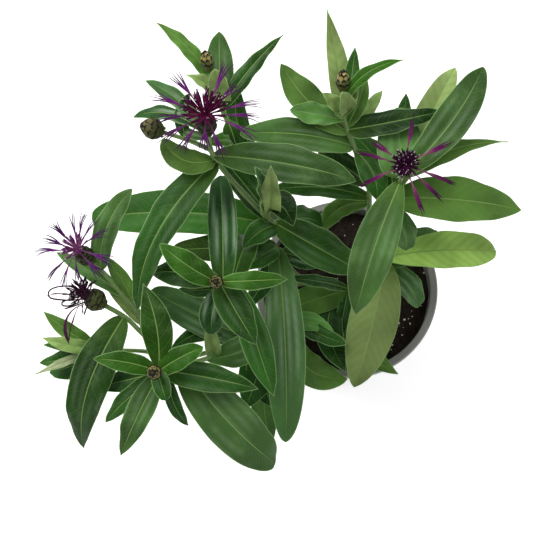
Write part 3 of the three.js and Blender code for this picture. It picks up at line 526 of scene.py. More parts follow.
class Piece:
    """Gathers the parts of one piece, with what its materials read at each point."""

    def __init__(self):
        self.points = []
        self.faces = []
        self.kinds = []
        self.read = {"tint": [], "blade": [], "mark": []}
        self.count = 0

    def add(self, points, faces, kind, tint, blade=(0, 0, 0), mark=(0, FAR, 0)):
        self.points.append(points)
        for label, given in (("tint", tint), ("blade", blade), ("mark", mark)):
            self.read[label].append(np.broadcast_to(given, (len(points), 3)))
        if isinstance(faces, np.ndarray):
            self.faces.extend((faces + self.count).tolist())
        else:
            self.faces.extend([[self.count + corner for corner in face] for face in faces])
        self.kinds.extend([kind] * len(faces))
        self.count += len(points)

    def mesh(self, name):
        mesh = bpy.data.meshes.new(name)
        mesh.from_pydata((np.vstack(self.points) * MM).tolist(), [], self.faces)
        return mesh

    def make(self, name, node, sharp=None):
        kinds = sorted(set(self.kinds))
        mesh = self.mesh(name)
        for kind in kinds:
            mesh.materials.append(MATERIALS[kind])
        mesh.polygons.foreach_set("material_index", [kinds.index(k) for k in self.kinds])
        tints = np.hstack([np.vstack(self.read.pop("tint")), np.ones((self.count, 1))])
        colour = mesh.attributes.new("tint", "FLOAT_COLOR", "POINT")
        colour.data.foreach_set("color", tints.astype(np.float32).ravel())
        for label, rows in self.read.items():
            attribute = mesh.attributes.new(label, "FLOAT_VECTOR", "POINT")
            attribute.data.foreach_set("vector", np.vstack(rows).astype(np.float32).ravel())
        mesh.update()
        mesh.shade_smooth()
        if sharp:
            mesh.set_sharp_from_angle(angle=math.radians(sharp))
        thing = in_scene(name, mesh)
        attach(thing, "root")
        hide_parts(node)
        return thing


def in_scene(name, data):
    thing = bpy.data.objects.new(name, data)
    bpy.context.scene.collection.objects.link(thing)
    return thing


def grid_faces(rows, columns, start=0, closed=False, flipped=False):
    """The quads of a grid of points given row by row."""
    row = np.arange(rows - 1)[:, None] * columns
    steps = np.arange(columns if closed else columns - 1)
    a = row + steps
    b = row + (steps + 1) % columns
    quads = np.stack([a, b, b + columns, a + columns], axis=-1).reshape(-1, 4) + start
    return quads[:, ::-1] if flipped else quads


def plate(top, bottom):
    """The points and faces of a closed plate between two sheets, each a grid of points."""
    rows, columns = top.shape[:2]
    layer = rows * columns
    left = np.arange(rows - 1) * columns
    right = left + columns - 1
    foot = np.arange(columns - 1)
    end = foot + layer - columns
    walls = [(left, left + columns), (right + columns, right), (foot + 1, foot), (end, end + 1)]
    faces = [grid_faces(rows, columns), grid_faces(rows, columns, layer, flipped=True)]
    faces += [np.stack([a, b, b + layer, a + layer], axis=1) for a, b in walls]
    return np.vstack([top.reshape(-1, 3), bottom.reshape(-1, 3)]), np.vstack(faces)


def tube_faces(rows, sides):
    """The faces of a closed tube of rings of points."""
    faces = grid_faces(rows, sides, closed=True).tolist()
    faces.append(list(range(sides))[::-1])
    faces.append([(rows - 1) * sides + k for k in range(sides)])
    return faces


def carried_frames(tangents, first):
    """A side for each point of a path, turned as little as possible from one to the next."""
    sides = [unit(first - tangents[0] * (first @ tangents[0]))]
    for tangent in tangents[1:]:
        side = sides[-1] - tangent * (sides[-1] @ tangent)
        sides.append(unit(side))
    sides = np.array(sides)
    return sides, np.cross(tangents, sides)


def sweep(path, radii, sides, squash=1.0, ridges=0, ridge=0.0, first=None):
    """A closed tube along a path of points: its points, its faces and each point's turn."""
    path = np.asarray(path, float)
    tangents = unit(np.gradient(path, axis=0))
    if first is None:
        first = np.cross(tangents[0], UP)
        if np.linalg.norm(first) < 0.1:
            first = view_right
    across, over = carried_frames(tangents, first)
    turn = evenly(sides)
    size = np.asarray(radii, float)[:, None, None] * (1 + ridge * np.cos(ridges * turn))[:, None]
    ring = path[:, None] + size * turned_to(across[:, None], squash * over[:, None], turn)
    return ring.reshape(-1, 3), tube_faces(len(path), sides), np.tile(turn, len(path))


def spikes(piece, roots, ways, lengths, radius, kind, tint):
    """Hairs: slim closed pyramids with three sides."""
    roots = np.asarray(roots, float)
    ways = unit(np.asarray(ways, float))
    side, over = sides_of(ways, guide_for(ways))
    corners = [roots + radius * turned_to(side, over, turn) for turn in evenly(3)]
    tips = roots + ways * np.asarray(lengths)[:, None]
    points = np.stack([*corners, tips], axis=1).reshape(-1, 3)
    first = np.arange(len(roots))[:, None] * 4
    faces = np.concatenate([first + f for f in ([0, 1, 3], [1, 2, 3], [2, 0, 3], [2, 1, 0])])
    piece.add(points, faces, kind, tint)


# The columns of a blade lie closer together at its midrib and at its edges.
ACROSS = np.array([-1, -0.95, -0.8, -0.6, -0.4, -0.2, -0.07, 0, 0.07, 0.2, 0.4, 0.6, 0.8, 0.95, 1])
BENT = np.abs(ACROSS)
ROW_STEP = 2.1
ROWS_LEAST, ROWS_MOST = 14, 58

# The fine relief of a blade, in mm, though its halves are puffed by a share of their width
PUFF_SHARE = 0.05
QUILT_TALL = 0.24
RUFFLE_TALL = 0.2
RUFFLE_LONG, RUFFLE_SHORT = 3.3, 1.9
FULL_RELIEF_HALF = 5
VEIN_STEP = 7.5
VEIN_SLANT = 0.11
GROOVE_DEEP, GROOVE_HALF = 0.28, 0.8
RIDGE_TALL, RIDGE_HALF = 0.5, 0.9
EDGE_THINNER = 0.7
RIB_HALF, RIB_SHARE, RIB_TAPER = 0.28, 0.012, 0.55
PALE_UNDER = linear(104, 130, 84)
UNDER_SHARE = 0.65

# How much the tones differ from leaf to leaf and within one in bands along it, how much lighter one side of
# the midrib is painted as painted shade, and the step of the painted highlight streaks
LEAF_LIGHT, LEAF_HUE = (0.9, 1.1), (0.96, 1.04)
PAINTED_SIDE_SHADE, BROAD_SHARE, NARROW_SHARE = 0.16, 0.12, 0.10
BROAD_STEP, NARROW_STEP, HIGHLIGHT_STREAK_STEP = 5.5, 14, 2.5


def leaf_shape(along, widest, point):
    power = point * widest / (1 - widest)
    blade = (along / widest) ** power * ((1 - along) / (1 - widest)) ** point
    return blade + LEAF_FOOT * (1 - along) ** 4


def leaf_sheet(base, tip, leaf, rows):
    """The middle sheet of a blade, three ways along its rib, its half width and its walks."""
    share = np.linspace(0, 1, rows)
    along = ((share + np.sin(math.pi / 2 * share)) / 2)[:, None]
    chord = tip - base
    side, lift = sides_of(chord)
    hump = 4 * along * (1 - along)
    slope = 4 * (1 - 2 * along)
    rib = base + chord * along + lift * hump * leaf.arch + side * hump * leaf.bow
    heading = unit(chord + lift * slope * leaf.arch + side * slope * leaf.bow)
    normal = unit(UP - heading * heading[:, 2:3])
    flat = np.cross(heading, normal)
    turn = math.radians(leaf.roll) * (ROLL_AT_FOOT + (1 - ROLL_AT_FOOT) * along)
    face = normal * np.cos(turn) + flat * np.sin(turn)
    out = flat * np.cos(turn) - normal * np.sin(turn)
    half = np.maximum(LEAF_HALF_LEAST, leaf.wide / 2 * leaf_shape(along, leaf.widest, leaf.point))
    wave = WAVE * np.sin(TURN * leaf.waves * along + WAVE_SLANT * ACROSS)
    wave = wave * np.minimum(1, along / WAVE_FULL_AT) * np.minimum(1, half / WAVE_FULL_HALF)
    rise = half * leaf.keel * BENT + wave * BENT**2
    # Finer relief: puffed halves, quilted fields between the veins, a ruffled edge
    short, long, *_ = rng.uniform(0, TURN, 4)
    u = walked(rib)[:, None]
    field = u / VEIN_STEP - VEIN_SLANT * half * BENT + 0.5 * (ACROSS > 0)
    puff = PUFF_SHARE * half * np.sin(math.pi * BENT)
    quilt = -QUILT_TALL * np.cos(TURN * field) * np.sin(math.pi * BENT)
    ruffle = np.sin(u / RUFFLE_SHORT + short + ACROSS) + np.sin(u / RUFFLE_LONG + long - 2 * ACROSS)
    ruffle = RUFFLE_TALL * ruffle * BENT**3
    rise = rise + puff + (quilt + ruffle) * np.minimum(1, half / FULL_RELIEF_HALF)
    sheet = rib[:, None, :] + out[:, None, :] * (half * ACROSS)[..., None]
    return sheet + face[:, None, :] * rise[..., None], face, out, heading, half, along, u


def blade_tints(leaf, along, v):
    """The colours of a blade's top, with one side of the midrib painted lighter as painted shade, bands
    along it and painted highlight streaks, and below.
    """
    # The lit factor holds painted light and shade as well as the leaf's own tone
    tint = linear(*TONES[leaf.tone]) * leaf.lit * rng.uniform(*LEAF_LIGHT) * rng.uniform(*LEAF_HUE, 3)
    lean, *drift = rng.uniform(-1, 1, 4) * [1, math.pi, math.pi, math.pi]
    # Painted shade: one side of the midrib lighter and the other darker, as light falls on the folded halves
    sides = PAINTED_SIDE_SHADE * lean * np.tanh(v / 2)
    broad = BROAD_SHARE * np.sin(BROAD_STEP * along + drift[0] + 0.8 * ACROSS)
    narrow = NARROW_SHARE * np.sin(NARROW_STEP * along + drift[1] - 1.5 * ACROSS)
    shade = (1 + sides + broad + narrow)[..., None]
    # Painted highlight: pale streaks along the middle of the blade, standing for the sky mirrored on it
    highlight_streak = smooth(0.1, 0.35, along) * (1 - smooth(0.5, 0.85, along))
    highlight_streak = highlight_streak * smooth(0, 1, np.sin(1.1 * v + drift[2] + HIGHLIGHT_STREAK_STEP * along))
    highlight_streak = (PAINTED_HIGHLIGHT.get(leaf.tone, 0) * highlight_streak)[..., None]
    over = tint * shade * (1 - highlight_streak) + PAINTED_HIGHLIGHT_TINT * highlight_streak
    under = tint * (1 - UNDER_SHARE) + PALE_UNDER * UNDER_SHARE
    return np.vstack([over.reshape(-1, 3), np.broadcast_to(under, (v.size, 3))])


def add_leaf(piece, base, tip, leaf):
    rows = int(np.clip(np.linalg.norm(tip - base) / ROW_STEP, ROWS_LEAST, ROWS_MOST))
    sheet, face, out, heading, half, along, u = leaf_sheet(base, tip, leaf, rows)
    v = half * ACROSS
    thick = LEAF_THICK / 2 * (1 - EDGE_THINNER * BENT**3)
    groove = GROOVE_DEEP * np.exp(-((v / GROOVE_HALF) ** 2)) * (1 - along)
    ridge = RIDGE_TALL * np.exp(-((v / RIDGE_HALF) ** 2)) * (1 - along)
    top = sheet + face[:, None, :] * (thick - groove)[..., None]
    bottom = sheet - face[:, None, :] * (thick + ridge)[..., None]
    points, faces = plate(top, bottom)
    rib_half = (RIB_HALF + RIB_SHARE * leaf.wide) * (1 - RIB_TAPER * along)
    blade = np.tile(triples(u, v, half - np.abs(v)), (2, 1))
    mark = np.vstack([triples(along, np.abs(v) / rib_half, under) for under in (0, 1)])
    piece.add(points, faces, "leaf", blade_tints(leaf, along, v), blade, mark)
    for column, sign in ((0, -1), (-1, 1)):
        add_down(piece, sheet[:, column], face, out * sign, heading)


# The pale hairs along the edges of the leaves and on the stems, in mm
DOWN_STEP = 0.8
DOWN_ROOT = 0.1
DOWN_RADIUS, STEM_DOWN_RADIUS = 0.05, 0.045
DOWN_TINT = linear(150, 184, 124)
DOWN_LONG, STEM_DOWN_LONG = (0.45, 1.0), (0.5, 1.1)
DOWN_AHEAD, DOWN_STRAY = (0.2, 0.9), 0.35
STEM_DOWN_PER_MM = 5
STEM_DOWN_LEAN = 0.4


def add_down(piece, edge, face, out, heading):
    walk = walked(edge)
    amount = int(walk[-1] / DOWN_STEP)
    if amount < 3:
        return
    spots = np.sort(rng.uniform(0, walk[-1], amount))
    place, away, ahead, up = (between(spots, walk, rows) for rows in (edge, out, heading, face))
    way = away + ahead * rng.uniform(*DOWN_AHEAD, (amount, 1))
    way = way + up * rng.normal(0, DOWN_STRAY, (amount, 1))
    lengths = rng.uniform(*DOWN_LONG, amount)
    spikes(piece, place - away * DOWN_ROOT, way, lengths, DOWN_RADIUS, "down", DOWN_TINT)


# A stem is ridged, thinner and greener towards its top.
STEM_GREEN = linear(84, 118, 46)
STEM_DARK = linear(48, 68, 30)
STEM_RIDGES = 5
STEM_SIDES = 3 * STEM_RIDGES
STEM_RIDGE = 0.07
STEM_TAPER = 0.2
STEM_ROW = 3


def add_stem(piece, curve, radius):
    def local(shares):
        return radius * (1 - STEM_TAPER * smooth(0.1, 0.9, shares))

    shares = np.linspace(0, 1, max(8, int(curve.length / STEM_ROW)))
    points, faces, turn = sweep(
        curve.at(shares), local(shares), STEM_SIDES, ridges=STEM_RIDGES, ridge=STEM_RIDGE)
    along = np.repeat(shares, STEM_SIDES)
    tint = STEM_DARK + (STEM_GREEN - STEM_DARK) * smooth(0, 0.5, along)[:, None]
    piece.add(points, faces, "stem", tint, mark=triples(0, turn, 0))
    amount = int(curve.length * STEM_DOWN_PER_MM)
    spots = rng.uniform(0.15, 1, amount)
    tangent = curve.tangent(spots)
    away = rng.normal(size=(amount, 3))
    away = unit(away - tangent * np.sum(away * tangent, axis=1, keepdims=True))
    roots = curve.at(spots) + away * local(spots)[:, None] * 0.95
    lengths = rng.uniform(*STEM_DOWN_LONG, amount)
    spikes(piece, roots, away + tangent * STEM_DOWN_LEAN, lengths, STEM_DOWN_RADIUS, "down", DOWN_TINT)


def stem_curves(name):
    """The curves of a stem, which begins in the soil, and of its branches."""
    (foot, *rest), *branches = ([seen(place) for place in curve] for curve in STEMS[name].curves)
    deep = np.array([foot[0], foot[1], SOIL_TOP - STEM_DEPTH])
    return [Curve([deep, foot, *rest]), *(Curve(places) for places in branches)]


def make_shoot(name):
    curves = stem_curves(name)
    piece = Piece()
    for k, curve in enumerate(curves):
        add_stem(piece, curve, STEM_RADIUS if k == 0 else BRANCH_RADIUS)
    for leaf in STEMS[name].leaves:
        add_leaf(piece, curves[leaf.on].at(leaf.at)[0], seen(leaf.tip), leaf)
    piece.make(name + "_fine", name)


def head_axes(head):
    curve = stem_curves(head.shoot)[head.branch]
    axis = curve.tangent(1)[0]
    return curve.at(1)[0] + axis * GAP, axis, *sides_of(axis)


def cup_shape(along, is_open):
    span = CUP_SPAN_OPEN if is_open else CUP_SPAN_CLOSED
    return np.maximum(0, np.sin(math.pi * (CUP_FOOT + span * along))) ** CUP_FULLNESS


# The scales of a cup overlap in levels round an egg-shaped body.
SCALE_GREEN = linear(84, 94, 46)
SCALE_STRAW = linear(196, 178, 112)
SCALE_DARK = linear(30, 24, 18)
SCALES_AROUND = 6
SCALES_FEWER_ON_TOP = 3
SCALE_LEVELS = 4
SCALE_REACH, TOP_SCALE_REACH = 0.5, 0.36
SCALE_STEPS, SCALE_COLUMNS = 8, 5
SCALE_HALF_THICK = 0.14
BODY_SHARE, SCALE_SHARE = 0.9, 0.93
BODY_LEAST, SCALE_LEAST = 0.3, 0.25
SCALE_STRAY, SCALE_SIZE, SCALE_OUT, SCALE_LIGHT = 0.05, (0.92, 1.08), (0.8, 1.25), (0.85, 1.15)
FRINGE_TEETH, FRINGE_LONG, FRINGE_RADIUS = 11, (0.5, 0.95), 0.1
CUP_ROWS, CUP_SIDES = 16, 22


def make_cup(name, head):
    piece = Piece()
    seat, axis, side, lift = head_axes(head)
    along = np.linspace(0, 1, CUP_ROWS)
    path = seat + axis * (head.tall * along)[:, None]
    body = head.radius * BODY_SHARE * cup_shape(along, head.is_open)
    points, faces, _ = sweep(path, np.maximum(body, BODY_LEAST), CUP_SIDES, first=side)
    piece.add(points, faces, "scale", SCALE_GREEN * 0.5, mark=(0, 0, 0))
    for level in range(SCALE_LEVELS):
        is_top = level == SCALE_LEVELS - 1
        fewer = SCALES_FEWER_ON_TOP if is_top and not head.is_open else 0
        amount = SCALES_AROUND - fewer
        for k in range(amount):
            middle = TURN * (k + 0.5 * (level % 2)) / amount + rng.normal(0, SCALE_STRAY)
            reach = TOP_SCALE_REACH if is_top else SCALE_REACH
            add_scale(piece, head, (seat, axis, side, lift), level, middle, math.pi / amount, reach)
    label = name + "_cup" if head.is_open else name
    piece.make(label + "_fine", label, sharp=60)


def add_scale(piece, head, axes, level, middle, half_turn, reach):
    """A pointed scale with a dark, fringed edge. It stands out more towards its tip."""
    seat, axis, side, lift = axes
    s = np.linspace(0, 1, SCALE_STEPS)[:, None]
    t = np.linspace(-1, 1, SCALE_COLUMNS)
    spot = level / SCALE_LEVELS * 0.9 - 0.06 + reach * rng.uniform(*SCALE_SIZE) * s
    width = (0.55 + 0.9 * s) * np.sqrt(np.maximum(0, 1 - s**2.4))
    body = head.radius * SCALE_SHARE * cup_shape(np.clip(spot, 0, 1), head.is_open)
    stand = (0.25 + 0.55 * s**1.5) * (1 - 0.5 * t**2) * rng.uniform(*SCALE_OUT)
    past = head.tall * spot
    if not head.is_open:
        past = np.minimum(past, head.tall * 1.05)
    away = turned_to(side, lift, middle + half_turn * 1.25 * width * t)
    out = np.maximum(body, SCALE_LEAST) + stand
    sheet = seat + axis * past[:, :, None] + away * out[:, :, None]
    points, faces = plate(sheet + away * SCALE_HALF_THICK, sheet - away * SCALE_HALF_THICK)
    straw = 0 if head.is_open else head.straw * smooth(0.3, 1, level / (SCALE_LEVELS - 1))
    tint = (SCALE_GREEN * (1 - straw) + SCALE_STRAW * straw) * head.shade * rng.uniform(*SCALE_LIGHT)
    edge = np.maximum(np.abs(t) * (0.4 + 0.6 * s), s**1.6)
    piece.add(points, faces, "scale", tint, mark=np.tile(triples(0, t, edge), (2, 1)))
    rim = np.vstack([sheet[2:-1, 0], sheet[-2:-1].mean(axis=1), sheet[2:-1, -1][::-1]])
    place = between(np.linspace(0, len(rim) - 1, FRINGE_TEETH), np.arange(len(rim)), rim)
    way = unit(place - sheet.mean(axis=(0, 1))) + axis * 0.5 + away.mean(axis=(0, 1)) * 0.35
    lengths = rng.uniform(*FRINGE_LONG, FRINGE_TEETH)
    spikes(piece, place, way, lengths, FRINGE_RADIUS, "scale", SCALE_DARK)


def blended(tones, share):
    """A colour between the foot's, the middle's and the tip's."""
    return between(share, [0, 0.5, 1], np.array([linear(*tone) for tone in tones]))


def shaded(tones, shade):
    return [np.minimum(255, np.array(tone) * shade) for tone in tones]


def strip(piece, path, widths, thickness, over, tones, shares):
    """A slim blade with a diamond section along a path, closed at both ends."""
    side, up = sides_of(unit(np.gradient(path, axis=0)), over)
    wide = side * widths[:, None]
    thick = up * np.minimum(thickness, widths)[:, None]
    ring = np.stack([path + wide, path + thick, path - wide, path - thick], axis=1)
    tint = np.repeat(blended(tones, shares), 4, axis=0)
    piece.add(ring.reshape(-1, 3), tube_faces(len(path), 4), "floret", tint)


# The tube of an outer floret reaches past the middle, and its lobes start a little inside it.
TUBE_REACH = 0.56
TUBE_ROWS, TUBE_SIDES = 8, 8
TUBE_RADII = [0.32, 0.4, 1.05]
LOBE_START = 0.48
LOBE_THICK = 0.3
LOBE_ROWS = 9
LOBE_REACH, LOBE_SWAY, LOBE_LIFT = (0.94, 1.03), 0.35, 0.9
OUTER_LIGHT, INNER_LIGHT = (0.85, 1.15), (0.8, 1.25)
THREAD_ROWS = 22
THREAD_THICK = 0.4
FLORET_ARCH = 0.06
THROAT = 1.5


def outer_floret(piece, base, tip, up, flower):
    """A narrow tube that opens into a few long, pointed lobes."""
    chord = tip - base
    side, lift = sides_of(chord, up)
    arch = 4 * FLORET_ARCH * np.linalg.norm(chord)

    def spot(far, off, high):
        rise = arch * far * (1 - far) + high
        return base + chord * far[:, None] + side * off[:, None] + lift * rise[:, None]

    tones = shaded(flower.outer_tones, rng.uniform(*OUTER_LIGHT))
    share = np.linspace(0, TUBE_REACH, TUBE_ROWS)
    radii = np.interp(share, [0, 0.34, TUBE_REACH], TUBE_RADII)
    points, faces, _ = sweep(spot(share, 0 * share, 0), radii, TUBE_SIDES, squash=0.6, first=side)
    piece.add(points, faces, "floret", np.repeat(blended(tones, share * 0.8), TUBE_SIDES, axis=0))
    for k in range(flower.lobes):
        turn = (k + 0.5) / flower.lobes - 0.5
        reach = (1.04 - 0.3 * turn**2 - (k % 2) * 0.06) * rng.uniform(*LOBE_REACH)
        s = np.linspace(0, 1, LOBE_ROWS)
        far = LOBE_START + (reach - LOBE_START) * s
        sway = rng.normal(0, LOBE_SWAY) * np.sin(math.pi * s)
        off = THROAT * turn + (2 * flower.spread - THROAT) * turn * s**1.35 + sway
        high = rng.normal(0, LOBE_LIFT) * s**2 + 0.3 * np.sin(math.pi * s)
        width = flower.lobe_half * np.minimum(1, 0.6 + 2 * s) * (1 - s**3) + 0.1
        strip(piece, spot(far, off, high), width, LOBE_THICK, up, tones, 0.35 + 0.65 * s)


def add_thread(piece, places, tones, swell, half):
    """A withered floret that curls along the places, wider towards its tip by the swell."""
    s = np.linspace(0, 1, THREAD_ROWS)
    widths = (half + swell * np.sin(math.pi * s**2.5)) * np.minimum(1, 8 * (1.04 - s))
    strip(piece, Curve([seen(place) for place in places]).at(s), widths, THREAD_THICK, UP, tones, s)


# A slim floret: its tube bows a little, and its teeth and style are spikes at its end.
INNER_BOW, WITHERED_BOW = 0.6, 1.3
TUBE_SHARE = 0.86
TOOTH_LONG, TOOTH_RADIUS = 1.3, 0.2
STYLE_SHARE = 0.36
STYLE_LONG, STYLE_RADIUS, STYLE_FORK = [1.5, 1.4], 0.34, 0.2
STYLE_TONE, WITHERED_STYLE_TONE = (226, 206, 214), (70, 30, 60)
INNER_ROWS, INNER_SIDES, INNER_TEETH = 7, 6, 5
INNER_RADII = [0.28, 0.34, 0.6, 0.42]


def inner_floret(piece, base, tip, flower):
    """A slim tube with five small teeth and, on some, a pale forked style."""
    long = np.linalg.norm(tip - base)
    axis = (tip - base) / long
    side, over = sides_of(axis, guide_for(axis))
    bow = rng.normal(0, WITHERED_BOW if flower.withered else INNER_BOW, 2)
    s = np.linspace(0, 1, INNER_ROWS)
    sway = (side * bow[0] + over * bow[1]) * (s**2)[:, None]
    path = base + axis * (long * TUBE_SHARE * s)[:, None] + sway
    radii = np.interp(s, [0, 0.5, 0.82, 1], INNER_RADII)
    points, faces, _ = sweep(path, radii, INNER_SIDES, first=side)
    tones = shaded(flower.inner_tones, rng.uniform(*INNER_LIGHT))
    piece.add(points, faces, "floret", np.repeat(blended(tones, s**1.6), INNER_SIDES, axis=0))
    end = path[-1]
    heading = unit(end - path[-2])
    ways = heading + turned_to(side, over, evenly(INNER_TEETH) + rng.uniform(0, 1)) * 0.75
    lengths = np.full(INNER_TEETH, TOOTH_LONG)
    spikes(piece, end + ways * 0.1, ways, lengths, TOOTH_RADIUS, "floret", blended(tones, 1))
    if rng.uniform() < STYLE_SHARE:
        tint = linear(*(WITHERED_STYLE_TONE if flower.withered else STYLE_TONE))
        ways = [heading + side * STYLE_FORK, heading - side * STYLE_FORK]
        spikes(piece, [end, end], ways, STYLE_LONG, STYLE_RADIUS, "style", tint)


# The core of a flower and the feet of its florets, as shares of the mouth of its cup
MOUTH_SHARE = 0.94
HEART_HEIGHT, CORE_HEIGHT = 0.4, 1.3
CORE_ROWS, CORE_SIDES = 7, 16
OUTER_FOOT, INNER_FOOT = 0.7, 0.6
DOME_SHARE, DOME_STRAY = 0.72, 0.06
INNER_LONG = (0.86, 1.06)


def make_florets(name, flower):
    """The florets of a flower round a small core. The inner ones fill a dome evenly."""
    piece = Piece()
    head = HEADS[name]
    seat, axis, side, lift = head_axes(head)
    mouth = head.radius * cup_shape(1, True) * MOUTH_SHARE
    floor = seat + axis * (head.tall + GAP)
    heart = floor + axis * mouth * HEART_HEIGHT
    s = np.linspace(0, 1, CORE_ROWS)
    core = floor + axis * (mouth * CORE_HEIGHT * s)[:, None]
    radii = mouth * np.sqrt(np.maximum(0.04, 1 - s**2.5))
    points, faces, _ = sweep(core, radii, CORE_SIDES, first=side)
    piece.add(points, faces, "floret", linear(*flower.inner_tones[1]) * 0.7)
    for ray in flower.rays:
        tip = seen(ray)
        way = tip - heart
        way = unit(way - axis * (way @ axis))
        outer_floret(piece, heart + way * mouth * OUTER_FOOT, tip, axis, flower)
    for places in flower.threads:
        add_thread(piece, places, flower.inner_tones, swell=0.1, half=0.44)
    for places in flower.petals:
        add_thread(piece, places, flower.outer_tones, swell=0.7, half=0.36)
    for k in range(flower.inner):
        high = 1 - (k + 0.5) / flower.inner * DOME_SHARE
        wide = math.sqrt(1 - high * high)
        way = axis * high + turned_to(side, lift, k * GOLDEN_ANGLE) * wide
        way = unit(way + rng.normal(0, DOME_STRAY, 3))
        long = flower.deep * rng.uniform(*INNER_LONG)
        inner_floret(piece, heart + way * mouth * INNER_FOOT, heart + way * long, flower)
    label = name + "_florets"
    piece.make(label + "_fine", label, sharp=70)


def capped(rings, first, last, flipped=False):
    """A closed body of rings of points between two end points."""
    rows, sides = rings.shape[:2]
    here = np.arange(sides)
    after = (here + 1) % sides
    end = (rows - 1) * sides
    low = np.full(sides, rows * sides)
    caps = np.stack([low, after, here, low + 1, end + here, end + after], axis=1).reshape(-1, 3)
    if flipped:
        caps = caps[:, [0, 2, 1]]
    faces = grid_faces(rows, sides, closed=True, flipped=flipped).tolist() + caps.tolist()
    return np.vstack([rings.reshape(-1, 3), [first, last]]), faces


def turned(profile, sides):
    """A closed body turned round the upright axis, from a profile that starts and ends on it."""
    out, height = np.array(profile[1:-1], float).T[:, :, None]
    turn = evenly(sides)
    rings = triples(out * np.cos(turn), out * np.sin(turn), height).reshape(-1, sides, 3)
    return capped(rings, (0, 0, profile[0][1]), (0, 0, profile[-1][1]))


def wall_radius(height):
    top = RIM_RADIUS - LIP_OUT
    return BASE_RADIUS + (top - BASE_RADIUS) * height / (POT_HEIGHT - LIP_HEIGHT)


def inner_radius(height):
    return wall_radius(height) - WALL


POT_GREY = linear(134, 134, 130)
POT_SIDES = 160
DRAIN_SIDES = 24


def pot_profile():
    """The foot ring, the wall, the rolled lip with its rounded edges and the inside."""
    under = POT_HEIGHT - LIP_HEIGHT
    foot = [(0, 0.8), (BASE_RADIUS - 7, 0.8), (BASE_RADIUS - 5.5, 0), (BASE_RADIUS - 0.8, 0)]
    wall = [(wall_radius(height), height) for height in (20, 60, 84)]
    wall = [(BASE_RADIUS, 0.8), *wall, (wall_radius(under) - 0.1, under - 0.2)]
    lip_side = [(0.7, under), (0.25, under + 0.5), (0.1, under + 4)]
    lip_top = [
        (0, 1.4), (0.25, 0.5), (0.8, 0.1), (1.3, 0), (1.7, 0.25), (2.1, 0.4),
        (LIP_WIDTH - 1, 0.4), (LIP_WIDTH - 0.3, 0.7), (LIP_WIDTH, 1.4),
    ]
    lip = [(RIM_RADIUS - in_by, height) for in_by, height in lip_side]
    lip += [(RIM_RADIUS - in_by, POT_HEIGHT - down) for in_by, down in lip_top]
    inside = [(inner_radius(height), height) for height in (under - WALL, 60, FLOOR)]
    return [*foot, *wall, *lip, *inside, (0, FLOOR)]


def drain_cutter():
    cutter = Piece()
    for turn in evenly(DRAIN_HOLES):
        middle = DRAIN_RING * turned_to(view_right, np.cross(UP, view_right), turn)
        points, faces, _ = sweep([middle - UP * 5, middle + UP * 5], [DRAIN_RADIUS] * 2, DRAIN_SIDES)
        cutter.add(points, faces, "pot", POT_GREY)
    return in_scene("drain_cutter", cutter.mesh("drain_cutter"))


def make_pot():
    piece = Piece()
    points, faces = turned(pot_profile(), POT_SIDES)
    piece.add(points, faces, "pot", POT_GREY)
    pot = piece.make("pot_fine", "pot", sharp=50)
    cut = pot.modifiers.new("drain", "BOOLEAN")
    cut.operation = "DIFFERENCE"
    cut.solver = "EXACT"
    cut.object = drain_cutter()
    graph = bpy.context.evaluated_depsgraph_get()
    done = bpy.data.meshes.new_from_object(pot.evaluated_get(graph), depsgraph=graph)
    bpy.data.objects.remove(cut.object)
    pot.modifiers.clear()
    pot.data = done


NOISE_CELLS = 64
NOISE_OFFSET = 200


def value_noise(x, y, scale, seed):
    """Smooth noise from -1 to 1 on a square grid of random values."""
    table = np.random.default_rng(seed).uniform(-1, 1, (NOISE_CELLS, NOISE_CELLS))
    gx, gy = x / scale + NOISE_OFFSET, y / scale + NOISE_OFFSET
    ix, iy = np.floor(gx).astype(int), np.floor(gy).astype(int)
    fx, fy = gx - ix, gy - iy
    fx, fy = fx * fx * (3 - 2 * fx), fy * fy * (3 - 2 * fy)
    corner = [[table[(iy + b) % NOISE_CELLS, (ix + a) % NOISE_CELLS] for a in (0, 1)] for b in (0, 1)]
    low = corner[0][0] * (1 - fx) + corner[0][1] * fx
    high = corner[1][0] * (1 - fx) + corner[1][1] * fx
    return low * (1 - fy) + high * fy


# The soil's crumbs, in mm, as the tall, the scale and the seed of each layer of noise
SOIL_NOISE = [(0.55, 3.1, 1), (0.4, 1.4, 2), (0.25, 0.7, 3)]
SOIL_RINGS, SOIL_SIDES = 72, 220
SOIL_OUT = inner_radius(SOIL_TOP) - GAP
SOIL_BROWN = linear(44, 35, 30)
ROOT_BROWN = linear(84, 62, 44)
PERLITE_WHITE = linear(214, 206, 184)
GRAIN_WHITE = linear(206, 196, 172)
CRUMBS = 950
CRUMB_SIZE, CRUMB_MORE = 0.45, 1.1
CRUMB_LIGHT = (0.5, 1.6)
CRUMB_UP, PERLITE_UP, GRAIN_UP = 0.15, 0.4, 0.3
GRAINS = 70
GRAIN_SIZE = (0.25, 0.6)
GRAIN_LIGHT = (0.6, 1.05)
ROOTS = 120
ROOT_LONG = (2, 6)
ROOT_LIGHT = (0.5, 1.2)
ROOT_RADIUS, ROOT_SLOPE, ROOT_UP = 0.2, 0.15, 0.35
LUMP_ROUGH = 0.28
LUMP_STRETCH = (0.6, 1.25)
CLEAR_OF_POT = 2.5
# The white grains that the view shows: across, down and size in mm
PERLITE_SEEN = [
    (404, 320, 1.3), (399, 323, 0.8), (410, 324, 0.9), (402, 335, 0.7), (424, 273, 0.8),
    (412, 317, 0.6), (421, 306, 0.5), (396, 312, 0.5), (318, 320, 0.6), (330, 360, 0.7),
]


